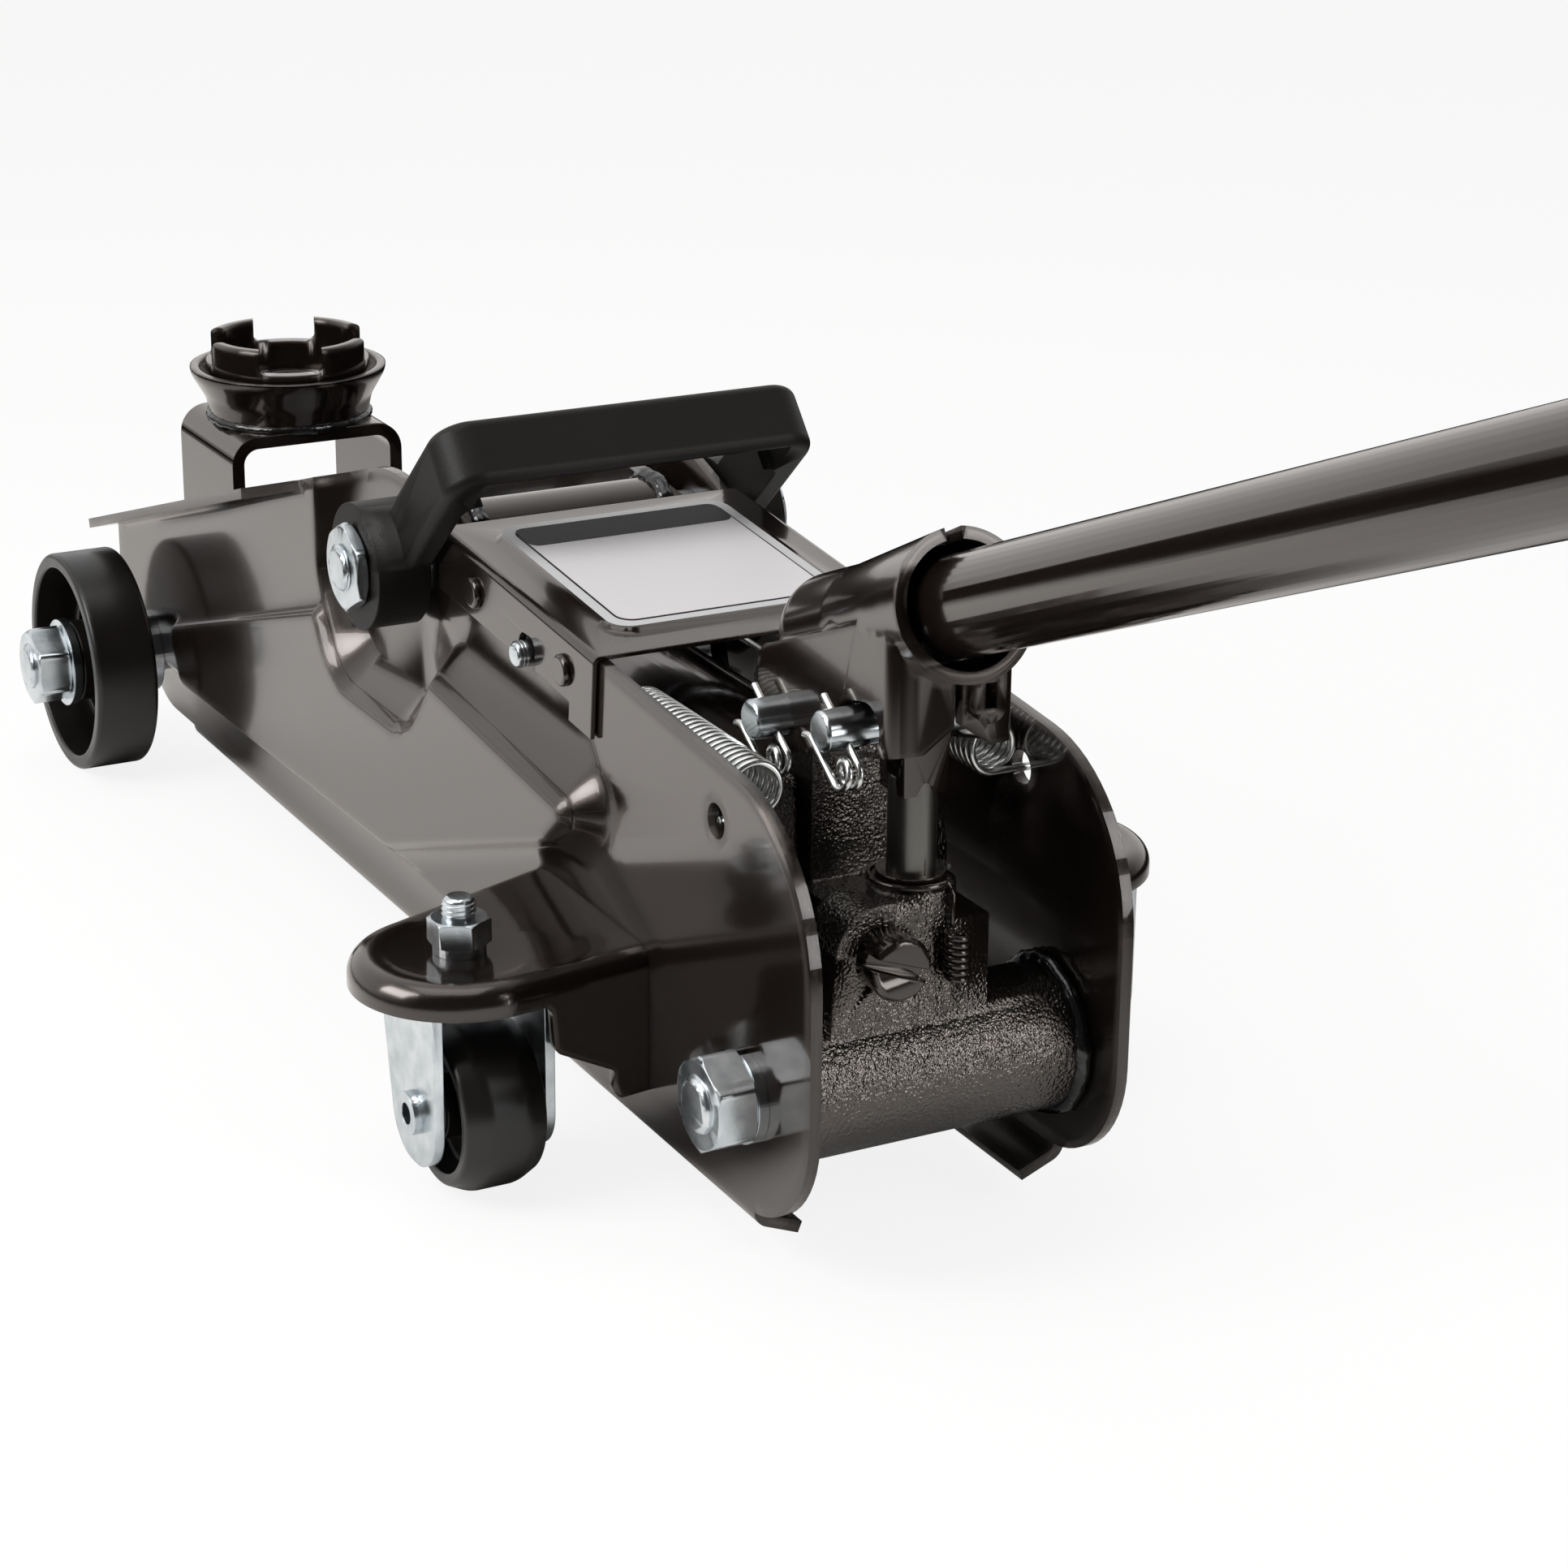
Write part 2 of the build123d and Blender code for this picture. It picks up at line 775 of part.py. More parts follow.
parts["link_studs"] = both(bar_y(anchor_x, anchor_z, link_pin_r, link_y, frame_inner))
pin_tip = link_y + link_t
parts["link_pin"] = bar_y(foot_x, foot_z, link_pin_r, -pin_tip, pin_tip)

# Saddle bracket: a strap bent to an upside-down U, and the cup welded on it
strap_rear, strap_front = saddle_x - strap_len / 2, saddle_x + strap_len / 2
strap_low = foot_z - strap_foot_r
strap_outer = outline(
    (-strap_half, strap_low, 0),
    (strap_half, strap_low, 0),
    (strap_half, strap_top, strap_bend),
    (-strap_half, strap_top, strap_bend),
)
strap_inner = outline(
    (-strap_half + strap_t, strap_low, 0),
    (strap_half - strap_t, strap_low, 0),
    (strap_half - strap_t, strap_top - strap_t, strap_bend - strap_t),
    (-strap_half + strap_t, strap_top - strap_t, strap_bend - strap_t),
)
strap = run(strap_outer - strap_inner, strap_rear, strap_front)
leg_face = outline(
    (strap_rear, strap_top, 0),
    (strap_rear, saddle_pin_z + leg_rear_rise, leg_rear_round),
    (foot_x - strap_foot_r - leg_toe_back, saddle_pin_z - leg_toe_drop, leg_round),
    (foot_x - strap_foot_r, strap_low, strap_foot_r - side_gap),
    (foot_x + strap_foot_r, strap_low, strap_foot_r - side_gap),
    (strap_front, saddle_pin_z, leg_round),
    (strap_front, strap_top, 0),
)
strap = strap & slab(leg_face, -strap_half, strap_half)
strap = strap - bar_y(saddle_x, saddle_pin_z, saddle_pin_r + running, -strap_half, strap_half)
strap = strap - bar_y(foot_x, foot_z, link_pin_r, -strap_half, strap_half)
parts["saddle_bracket"] = strap
cup_face = outline(
    (saddle_stem_r + running, 0, 0),
    (cup_neck_r, 0, cup_foot_round),
    (cup_neck_r + cup_flare, cup_waist, cup_flare_round),
    (cup_rim_r, cup_shoulder, cup_shoulder_round),
    (cup_rim_r, cup_rim_z - strap_top, cup_lip_round),
    (cup_rim_r - cup_wall, cup_rim_z - strap_top, cup_lip_round),
    (cup_rim_r - cup_wall, cup_shoulder + cup_lip_round, cup_shoulder_round / 2),
    (cup_neck_r - cup_flare, cup_waist, cup_flare_round / 2),
    (cup_neck_r - cup_wall - cup_flare, cup_floor, cup_foot_round),
    (saddle_stem_r + running, cup_floor, 0),
)
parts["saddle_cup"] = turned_z(cup_face, saddle_x, 0, strap_top)

# Saddle: a ring with lugs round its rim and a stem that turns in the cup
seat_z = strap_top + cup_floor + loose
saddle_face = outline(
    (0, strap_top + loose, 0),
    (saddle_stem_r, strap_top + loose, saddle_round),
    (saddle_stem_r, seat_z, 0),
    (cup_neck_r - saddle_foot_in, seat_z, saddle_round),
    (cup_neck_r - saddle_hip_in, cup_rim_z - saddle_hip_drop, 2 * saddle_round),
    (saddle_r, cup_rim_z - saddle_skirt_drop, saddle_round),
    (saddle_r, saddle_top_z, saddle_round),
    (saddle_r - saddle_wall, saddle_top_z, saddle_round),
    (saddle_r - saddle_wall, seat_z + saddle_floor_t, saddle_round),
    (0, seat_z + saddle_floor_t, 0),
)
saddle = turned_z(saddle_face, 0, 0, 0)
gap_angle = 2 * pi / lug_count * (1 - lug_share)
gap_half = saddle_r * sin(gap_angle / 2)
for k in range(lug_count):
    notch = block(0, 2 * saddle_r, -gap_half, gap_half, saddle_low_z, 2 * saddle_top_z)
    notch = fillet(notch.edges().filter_by(Axis.X).group_by(Axis.Z)[0], notch_round)
    saddle = saddle - Rot(0, 0, k * 360 / lug_count + notch_turn) * notch
parts["saddle"] = Pos(saddle_x, 0, 0) * saddle

# Pump body: one casting with the cross tube, the pump boss, the valve lug and the clevis lug
pump = bar_y(0, bolt_z, cast_tube_r, -frame_inner, frame_inner)
pump = pump + block(
    -block_back, unit_face - block_back, -block_half, block_half, bolt_z, boss_top - block_drop
)
pump = pump + bar_x(0, ram_z, tank_r + flange_out, unit_face - flange_t, unit_face)
pump = pump + bar_z(lever_x, 0, pump_boss_r, bolt_z, boss_top)
valve_lug = outline(
    (valve_y - lug_r - lug_flare, bolt_z, 0),
    (valve_y + lug_r + lug_flare, bolt_z, 0),
    (valve_y + lug_r - lug_taper, valve_z + lug_r, lug_r - lug_flare),
    (valve_y - lug_r + lug_taper, valve_z + lug_r, lug_r - lug_flare),
)
pump = pump + run(valve_lug, valve_face, valve_front)
clevis_lug = outline(
    (clevis_x - lug_eye_r, ram_z, 0),
    (clevis_x + lug_eye_r, ram_z, 0),
    (clevis_x + lug_eye_r, clevis_z + lug_eye_r, lug_eye_r - running),
    (clevis_x - lug_eye_r, clevis_z + lug_eye_r, lug_eye_r - running),
)
pump = pump + slab(clevis_lug, -lug_half, lug_half)
pump = pump - bar_y(0, bolt_z, bolt_r + loose, -frame_inner, frame_inner)
pump = pump - bar_z(lever_x, 0, plunger_r + running, bore_low, boss_top)
pump = pump - bar_x(valve_y, valve_z, valve_shank_r + running, valve_face, valve_front)
pump = pump - bar_y(clevis_x, clevis_z, clevis_pin_r + running, -lug_half, lug_half)
parts["pump_body"] = pump
gland = bar_z(lever_x, 0, gland_r, boss_top, boss_top + gland_h)
parts["pump_gland"] = gland - bar_z(lever_x, 0, plunger_r + running, boss_top, boss_top + gland_h)

# Release valve with a screwdriver slot
valve = bar_x(valve_y, valve_z, valve_shank_r, valve_face - loose, valve_front - loose)
valve = valve + bar_x(valve_y, valve_z, valve_r, valve_face - valve_out, valve_face - loose)
valve = chamfer(valve.edges().group_by(Axis.X)[0], valve_bevel)
slot_x = valve_face - valve_out
slot = block(slot_x, slot_x + valve_slot_depth, -valve_r, valve_r, -valve_slot / 2, valve_slot / 2)
parts["release_valve"] = valve - Pos(0, valve_y, valve_z) * Rot(valve_turn, 0, 0) * slot

# Ram cylinder, oil tank, end cap, ram rod and piston seal
bore_r = piston_r + running
cylinder = bar_x(0, ram_z, cylinder_r, unit_face, tank_front)
parts["ram_cylinder"] = cylinder - bar_x(0, ram_z, bore_r, unit_face + bore_back, tank_front)
tank = bar_x(0, ram_z, tank_r, unit_face, tank_front)
parts["oil_tank"] = tank - bar_x(0, ram_z, tank_r - tank_t, unit_face, tank_front)
cap = bar_x(0, ram_z, tank_r, tank_front, tank_front + cap_t)
parts["cylinder_end_cap"] = cap - bar_x(0, ram_z, ram_r + running, tank_front, tank_front + cap_t)
head_x = crank_x - crank_bar_r - ram_gap
ram = bar_x(0, ram_z, ram_r, ram_back, head_x)
ram = ram + bar_x(0, ram_z, piston_r, ram_back, ram_back + piston_len)
ram = ram + bar_x(0, ram_z, head_r, head_x - head_t, head_x)
seal_x = ram_back + piston_len / 2
seal_r = piston_r - seal_depth
groove = bar_x(0, ram_z, 2 * piston_r, seal_x - seal_half, seal_x + seal_half)
ram = ram - (groove - bar_x(0, ram_z, seal_r, seal_x - seal_half, seal_x + seal_half))
parts["ram_rod"] = ram
seal = bar_x(0, ram_z, piston_r, seal_x - seal_half, seal_x + seal_half)
parts["ram_seal"] = seal - bar_x(0, ram_z, seal_r, seal_x - seal_half, seal_x + seal_half)

# Pump plunger with the eye that carries its pin
plunger = bar_z(lever_x, 0, plunger_r, plunger_low, lever_z - eye_neck)
eye_half = plunger_r - eye_trim
eye_w = clevis_pin_r + eye_out
eye_face = outline(
    (lever_x - eye_half, lever_z - eye_foot, 0),
    (lever_x + eye_half, lever_z - eye_foot, 0),
    (lever_x + eye_w, lever_z - eye_waist, eye_waist_round),
    (lever_x + eye_w, lever_z + eye_top, eye_round),
    (lever_x - eye_w, lever_z + eye_top, eye_round),
    (lever_x - eye_w, lever_z - eye_waist, eye_waist_round),
)
plunger = plunger + slab(eye_face, -eye_half, eye_half)
plunger = plunger - bar_y(lever_x, lever_z, clevis_pin_r, -eye_half, eye_half)
parts["pump_plunger"] = plunger

# Pins of the pump socket, each with a cross hole for its clip
clip_y = cheek_inner + cheek_t + clip_out
clip_dir = Vector(cos(clip_angle), 0, sin(clip_angle))
clip_side = Vector(-clip_dir.Z, 0, clip_dir.X)


def clevis_pin(x, z):
    head_y = -pin_end + pin_short
    pin = bar_y(x, z, clevis_pin_r, head_y, pin_end)
    pin = chamfer(pin.edges().filter_by(GeomType.CIRCLE), pin_bevel)
    pin = pin + bar_y(x, z, clevis_pin_r + clevis_head_out, head_y, head_y + clevis_head_t)
    hole = Plane(origin=Vector(x, clip_y, z) - clip_dir * 2 * clevis_pin_r, z_dir=clip_dir)
    return pin - hole * disc(clip_wire_r + loose, 4 * clevis_pin_r)


def spring_clip(x, z):
    at = Vector(x, clip_y, z)
    reach = clevis_pin_r + clip_reach
    first = at - clip_dir * (clevis_pin_r + clip_tail)
    bend = at + clip_dir * reach
    centre = bend + clip_side * clip_coil_r
    back = clip_dir * -1
    loop, start, end = coil(
        centre, Y, clip_side * -1, clip_dir, clip_coil_r, clip_pitch, clip_turns, clip_dir, back
    )
    tip = end + back * (reach + clip_over)
    flare = TangentArc(tip, tip + back * clip_flare_len + clip_side * clip_flare_rise, tangent=back)
    return tube_along([Line(first, start)] + loop + [Line(end, tip), flare], clip_wire_r)


parts["clevis_pin"] = clevis_pin(clevis_x, clevis_z)
parts["plunger_pin"] = clevis_pin(lever_x, lever_z)
parts["clevis_pin_clip"] = spring_clip(clevis_x, clevis_z)
parts["plunger_pin_clip"] = spring_clip(lever_x, lever_z)

# Handle socket: a sheet wrapped round the handle, with two cheeks for the pins
handle_dir = Vector(-cos(handle_angle), 0, sin(handle_angle))


def on_handle(x):
    return Vector(x, 0, handle_axis_z - x * tan(handle_angle))


def along_handle(part, x):
    return Plane(origin=on_handle(x), x_dir=(0, 1, 0), z_dir=handle_dir) * part


socket_len = (socket_front_x - socket_rear_x) / cos(handle_angle)
socket_r = handle_r + running + socket_t
cheek_outer = cheek_inner + cheek_t
tail_x_low = lever_x - cheek_tail_back
fold_end = tail_x_low + 2 * fold_r
cheek_face = outline(
    (socket_front_x + cheek_front_out, on_handle(socket_front_x).Z, cheek_front_round),
    (clevis_x + cheek_low_fore, clevis_z - cheek_low_drop, cheek_low_fore),
    (tail_x_low, fold_low, 0),
    (tail_x_low, on_handle(tail_x_low).Z - cheek_tail_drop, 0),
    (lever_x - cheek_top_back, on_handle(lever_x - cheek_top_back).Z, 0),
)
shell_face = outline(
    (0, 0, 0),
    (socket_r, 0, socket_nose_r),
    (socket_r, flare_start, flare_round),
    (flare_r, socket_len, 0),
    (0, socket_len, 0),
)
bore_face = outline(
    (0, socket_t, 0),
    (handle_r + running, socket_t, socket_nose_r - socket_t),
    (handle_r + running, flare_start, flare_round),
    (flare_r - socket_t, socket_len, 0),
    (flare_r - socket_t, 2 * socket_len, 0),
    (0, 2 * socket_len, 0),
)
shell = turned_z(shell_face, 0, 0, 0)
bore = turned_z(bore_face, 0, 0, 0)
cheek = slab(cheek_face, cheek_inner, cheek_outer)
fold_face = outline(
    (tail_x_low, fold_seam, 0),
    (tail_x_low, cheek_outer, fold_r),
    (fold_end, cheek_outer, 0),
    (fold_end, cheek_inner, 0),
    (tail_x_low + cheek_t, cheek_inner, fold_r - cheek_t),
    (tail_x_low + cheek_t, fold_seam, 0),
)
fold_cut = outline(
    (fold_seam, fold_low + fold_rise, 0),
    (cheek_outer, fold_low - fold_rise, 0),
    (cheek_outer, 2 * fold_low, 0),
    (fold_seam, 2 * fold_low, 0),
)
fold = level(fold_face, 0, 2 * fold_low) & run(fold_cut, tail_x_low, fold_end)
fold = fold & slab(cheek_face, 0, cheek_outer)
corner = block(tail_x_low, fold_end, 0, cheek_outer, 0, 2 * fold_low)
socket = cheek + mirrored(cheek) + along_handle(shell, socket_front_x)
socket = socket - slab(cheek_face, -cheek_inner, cheek_inner)
beside = (cheek - corner) + fold
socket = socket - slab(cheek_face, cheek_inner, cheek_outer) - slab(cheek_face, -cheek_outer, -cheek_inner)
socket = socket + beside + mirrored(beside)
ear_x = tail_x_low - ear_len
ear = block(ear_x, tail_x_low, ear_y - ear_half, ear_y + ear_half, ear_low, on_handle(ear_x).Z)
ear = fillet(ear.edges().filter_by(Axis.X).group_by(Axis.Z)[0], ear_half - running)
ear_hole = block(
    ear_x, tail_x_low, ear_y - ear_hole_half, ear_y + ear_hole_half, ear_hole_low, ear_hole_high
)
socket = socket + (ear - ear_hole)
slot_mid = hypot(clevis_x - lever_x, lever_z - clevis_z) + pin_slot_ahead
slot_angle = atan2(lever_z - clevis_z, lever_x - clevis_x)
slot_face = SlotCenterToCenter(pin_slot_len, 2 * (clevis_pin_r + pin_slot_play))
slot_place = Pos(clevis_x + slot_mid * cos(slot_angle), clevis_z + slot_mid * sin(slot_angle))
slot_face = slot_place * Rot(0, 0, degrees(slot_angle)) * slot_face
socket = socket - slab(slot_face, -cheek_outer, cheek_outer)
socket = socket - bar_y(clevis_x, clevis_z, clevis_pin_r, -cheek_outer, cheek_outer)
socket = socket - along_handle(bore, socket_front_x)
seam = Box(socket_gap, 2 * flare_r, 2 * socket_len, align=(Align.CENTER, Align.MAX, Align.MIN))
socket = socket - along_handle(Pos(0, 0, socket_len - socket_gap_start) * seam, socket_front_x)
parts["handle_socket"] = socket

# Handle: a tube with a slotted end for the release valve, and an end cap
handle = disc(handle_r, handle_len) - disc(handle_r - handle_t, handle_len)
fork_align = (Align.CENTER, Align.CENTER, Align.MIN)
fork_cut = Box(2 * handle_r, valve_slot + fork_play, fork_depth, align=fork_align)
handle = along_handle(handle - fork_cut, handle_front_x)
parts["handle_tube"] = handle
end_cap = Pos(0, 0, handle_len) * disc(handle_r, handle_cap_len)
end_cap = fillet(end_cap.edges().group_by(Axis.Z)[-1], cap_round)
end_cap = end_cap + Pos(0, 0, handle_len - cap_inside) * disc(handle_r - handle_t, cap_inside)
parts["handle_end_cap"] = along_handle(end_cap, handle_front_x)

# Cover: a pressed lid with skirts outside the plates, a raised pad and two rear corner tabs
cover_len = (cover_front_x - cover_rear_x) / cos(atan2(deck_slope, 1))
cover_plane = Plane(
    origin=(cover_rear_x, 0, deck_at(cover_rear_x) + cover_gap),
    x_dir=(0, -1, 0),
    z_dir=Vector(1, 0, deck_slope),
)
lid = outline(
    (-cover_half, cover_skirt, 0),
    (-cover_half, -cover_t, cover_bend),
    (cover_half, -cover_t, cover_bend),
    (cover_half, cover_skirt, 0),
)
well = outline(
    (-cover_half + cover_t, cover_tab, 0),
    (-cover_half + cover_t, 0, cover_bend - cover_t),
    (cover_half - cover_t, 0, cover_bend - cover_t),
    (cover_half - cover_t, cover_tab, 0),
)
tab = Pos(0, (cover_skirt + cover_tab) / 2) * Rectangle(2 * cover_half, cover_tab - cover_skirt)
cover = extrude(cover_plane * lid, amount=cover_len)
cover = cover + extrude(cover_plane * tab, amount=cover_tab_len)
cover = cover - extrude(cover_plane * well, amount=cover_len)
pad_w, pad_l = 2 * (cover_half - pad_margin), cover_len - 2 * pad_margin
pad_mid = cover_plane.origin + cover_plane.z_dir * (cover_len / 2)
up = Vector(-cover_plane.z_dir.Z, 0, cover_plane.z_dir.X)
pad_plane = Plane(origin=pad_mid + up * cover_t, x_dir=cover_plane.z_dir, z_dir=up)
pad = extrude(pad_plane * RectangleRounded(pad_l, pad_w, pad_round), amount=pad_raise, taper=45)
hole_plane = Plane(origin=pad_mid, x_dir=cover_plane.z_dir, z_dir=up)
under_trim = 2 * cover_t * (sqrt(2) - 1)
under_face = RectangleRounded(pad_l - under_trim, pad_w - under_trim, pad_round - under_trim / 2)
under = extrude(hole_plane * under_face, amount=pad_raise, taper=45)
cover = cover + pad - under
for screw_x in cover_screw_x:
    screw_z = deck_at(screw_x) - cover_screw_drop
    cover = cover - bar_y(screw_x, screw_z, cover_screw_r + running, -cover_half, cover_half)
passage_r = stud_r + stud_room
passage = outline(
    (stud_x - passage_r, stud_z - cover_skirt, 0),
    (stud_x + passage_r, stud_z - cover_skirt, 0),
    (stud_x + passage_r, stud_z + passage_r, stud_r),
    (stud_x - passage_r, stud_z + passage_r, stud_r),
)
cover = cover - slab(passage, -cover_half, cover_half)
parts["top_cover"] = cover
screws = []
for screw_x in cover_screw_x:
    screw_z = deck_at(screw_x) - cover_screw_drop
    screw = bar_y(screw_x, screw_z, cover_screw_r, frame_inner - cover_screw_in, cover_half)
    head = bar_y(screw_x, screw_z, screw_head_r, cover_half, cover_half + screw_head_t)
    head = fillet(head.edges().group_by(Axis.Y)[-1], screw_dome)
    screws += both(screw + head)
parts["cover_screws"] = screws
parts["cross_stud"] = chamfer(
    bar_y(stud_x, stud_z, stud_r, -stud_end, stud_end).edges().filter_by(GeomType.CIRCLE), stud_bevel
)

# Carry handle: two bosses on the pivot shaft, two legs and a channel-shaped grip
leg_w = 2 * boss_r - leg_trim
grip_top = grip_rise + grip_h / 2
bail_outer = outline(
    (-grip_end, 0, 0),
    (grip_end, 0, 0),
    (grip_end, grip_top, grip_round),
    (-grip_end, grip_top, grip_round),
)
bail_inner = outline(
    (-boss_in, -grip_h, 0),
    (boss_in, -grip_h, 0),
    (boss_in, grip_top - grip_h, grip_inner_round),
    (-boss_in, grip_top - grip_h, grip_inner_round),
)
bail_plane = Plane(origin=(0, 0, 0), x_dir=(0, 1, 0), z_dir=(1, 0, 0))
bail = extrude(bail_plane * (bail_outer - bail_inner), amount=grip_half_w, both=True)
bail = fillet(bail.edges().filter_by(Axis.Y).group_by(Axis.Z)[-1], grip_edge)
flare = outline(
    (-grip_half_w, grip_top, 0),
    (-leg_w / 2, 0, 0),
    (leg_w / 2, 0, 0),
    (grip_half_w, grip_top, 0),
)
bail = bail & slab(flare, -boss_out, boss_out)
pocket = block(
    -grip_half_w - grip_open,
    grip_half_w - grip_wall,
    -boss_in + grip_side_wall,
    boss_in - grip_side_wall,
    grip_top - grip_h,
    grip_top - grip_wall,
)
bosses = bar_y(0, 0, boss_r, -boss_out, boss_out) - bar_y(0, 0, boss_r, -boss_in, boss_in)
bail = bail - pocket + bosses - bar_y(0, 0, pivot_shaft_r + running, -boss_out, boss_out)
parts["carry_handle"] = Pos(pivot_x, 0, pivot_z) * Rot(0, -degrees(grip_lean), 0) * bail

# Caster brackets: a pressed round shelf with a rolled lip, and a gusset down the plate
round_part = Pos(king_x, king_y) * Circle(disc_r)
web_part = outline(
    (bracket_rear, frame_half, 0),
    (bracket_front, frame_half, 0),
    (king_x + disc_r * web_ahead, king_y + disc_r * web_ahead_out, 0),
    (king_x - disc_r * web_behind, king_y - disc_r * web_behind_in, 0),
)
shelf_face = round_part + web_part
shell = level(shelf_face, gusset_low, disc_z)
top_rim = shell.edges().filter_by(lambda e: abs(e.center().Z - disc_z) < running)
shell = fillet(top_rim.filter_by(lambda e: e.center().Y > frame_half + running), lip_round)
room = level(offset(shelf_face, amount=-disc_t), gusset_low, disc_z - disc_t)
room = room + block(
    bracket_rear + 2 * disc_t,
    bracket_front - 3 * disc_t,
    frame_half - disc_t,
    frame_half + 2 * disc_t,
    gusset_low,
    disc_z - disc_t,
)
keep = outline(
    (frame_half, gusset_low, 0),
    (frame_half + gusset_w, gusset_low, gusset_round),
    (frame_half + gusset_w, gusset_step, gusset_round / 2),
    (frame_half + gusset_arm_out, gusset_arm, gusset_round),
    (frame_half + gusset_end_out, disc_z - lip_h, gusset_round),
    (king_y + 2 * disc_r, disc_z - lip_h, 0),
    (king_y + 2 * disc_r, disc_z + shelf_over, 0),
    (frame_half, disc_z + shelf_over, 0),
)
shell = (shell - room) & run(keep, king_x - 2 * disc_r, king_x + 2 * disc_r)
dimple = Pos(king_x, king_y, disc_z) * Cone(
    dimple_r - 2 * dimple_depth, dimple_r, dimple_depth, align=(Align.CENTER, Align.CENTER, Align.MAX)
)
shell = shell - dimple - bar_z(king_x, king_y, king_r + running, disc_z - disc_t, disc_z)
shell = shell - lift
parts["left_caster_bracket"] = shell
parts["right_caster_bracket"] = mirrored(shell)

# Kingpins with spring washers and nuts
shelf_z = disc_z - dimple_depth
fork_top = disc_z - disc_t - loose
king_head_top = fork_top - fork_t - loose
king = bar_z(king_x, king_y, king_r, king_head_top, king_top)
king = chamfer(king.edges().group_by(Axis.Z)[-1], king_bevel)
king_head_r = king_r + king_head_out
king = king + bar_z(king_x, king_y, king_head_r, king_head_top - king_head_t, king_head_top)
parts["caster_kingpins"] = both(king)
king_ring = bar_z(king_x, king_y, king_r + king_ring_out, shelf_z, shelf_z + king_washer_t)
king_ring = king_ring - bar_z(king_x, king_y, king_r, shelf_z, shelf_z + king_washer_t)
parts["caster_spring_washers"] = both(king_ring)
king_nut = hex_nut(king_nut_across, king_r, king_nut_h)
parts["caster_nuts"] = both(Pos(king_x, king_y, shelf_z + king_washer_t) * king_nut)

# Caster forks, hollow rivet axles and crowned wheels
leg_in = caster_w / 2 + fork_gap
leg_out = leg_in + fork_t
fork_x = king_x - caster_trail
fork_u = outline(
    (king_y - leg_out, 0, 0),
    (king_y + leg_out, 0, 0),
    (king_y + leg_out, fork_top, fork_t + fork_bend),
    (king_y - leg_out, fork_top, fork_t + fork_bend),
)
fork_well = outline(
    (king_y - leg_in, -fork_t, 0),
    (king_y + leg_in, -fork_t, 0),
    (king_y + leg_in, fork_top - fork_t, fork_bend),
    (king_y - leg_in, fork_top - fork_t, fork_bend),
)
fork = run(fork_u - fork_well, fork_x - fork_half_w, king_x + fork_half_w)
fork_side = outline(
    (fork_x - fork_half_w, caster_r - fork_foot, fork_half_w - fork_trim),
    (fork_x + fork_half_w, caster_r - fork_foot, fork_half_w - fork_trim),
    (king_x + fork_half_w, fork_top - fork_brow, fork_brow_round),
    (king_x + fork_half_w, fork_top + fork_t, 0),
    (fork_x - fork_half_w, fork_top + fork_t, 0),
)
fork = fork & slab(fork_side, king_y - leg_out, king_y + leg_out)
fork = fork - bar_z(king_x, king_y, king_r + running, fork_top - fork_t, fork_top)
swing = level(Circle(2 * disc_r) - Circle(fork_swing_r), disc_z - lip_h - loose, disc_z)
fork = fork - Pos(king_x, king_y, 0) * swing
fork = fork - bar_y(fork_x, caster_r, rivet_r, king_y - leg_out, king_y + leg_out)
parts["left_caster_fork"] = fork
parts["right_caster_fork"] = mirrored(fork)
rivet = bar_y(fork_x, caster_r, rivet_r, king_y - leg_out, king_y + leg_out)
for rivet_y in (king_y + leg_out, king_y - leg_out - rivet_head_t):
    rivet = rivet + bar_y(fork_x, caster_r, rivet_head_r, rivet_y, rivet_y + rivet_head_t)
rivet_end = leg_out + rivet_head_t
rivet = rivet - bar_y(fork_x, caster_r, rivet_r - rivet_wall, king_y - rivet_end, king_y + rivet_end)
parts["left_caster_rivet"] = rivet
parts["right_caster_rivet"] = mirrored(rivet)
half_w = caster_w / 2
caster_bore = rivet_r + running
caster_hub = rivet_r + hub_wall
rim_in = caster_r - rim_wall
crown_r = caster_r - rim_crown
caster_face = outline(
    (caster_bore, -half_w, 0),
    (caster_hub, -half_w, hub_round),
    (caster_hub, -half_w / 3, web_round),
    (rim_in, -half_w / 3, web_round),
    (rim_in, -half_w, hub_round),
    (crown_r, -half_w, rim_round),
    (caster_r, -half_w / 2, crown_round),
    (caster_r, half_w / 2, crown_round),
    (crown_r, half_w, rim_round),
    (rim_in, half_w, hub_round),
    (rim_in, half_w / 3, web_round),
    (caster_hub, half_w / 3, web_round),
    (caster_hub, half_w, hub_round),
    (caster_bore, half_w, 0),
)
caster_wheel = turned_y(caster_face, fork_x, king_y, caster_r)
parts["left_caster_wheel"] = caster_wheel
parts["right_caster_wheel"] = mirrored(caster_wheel)

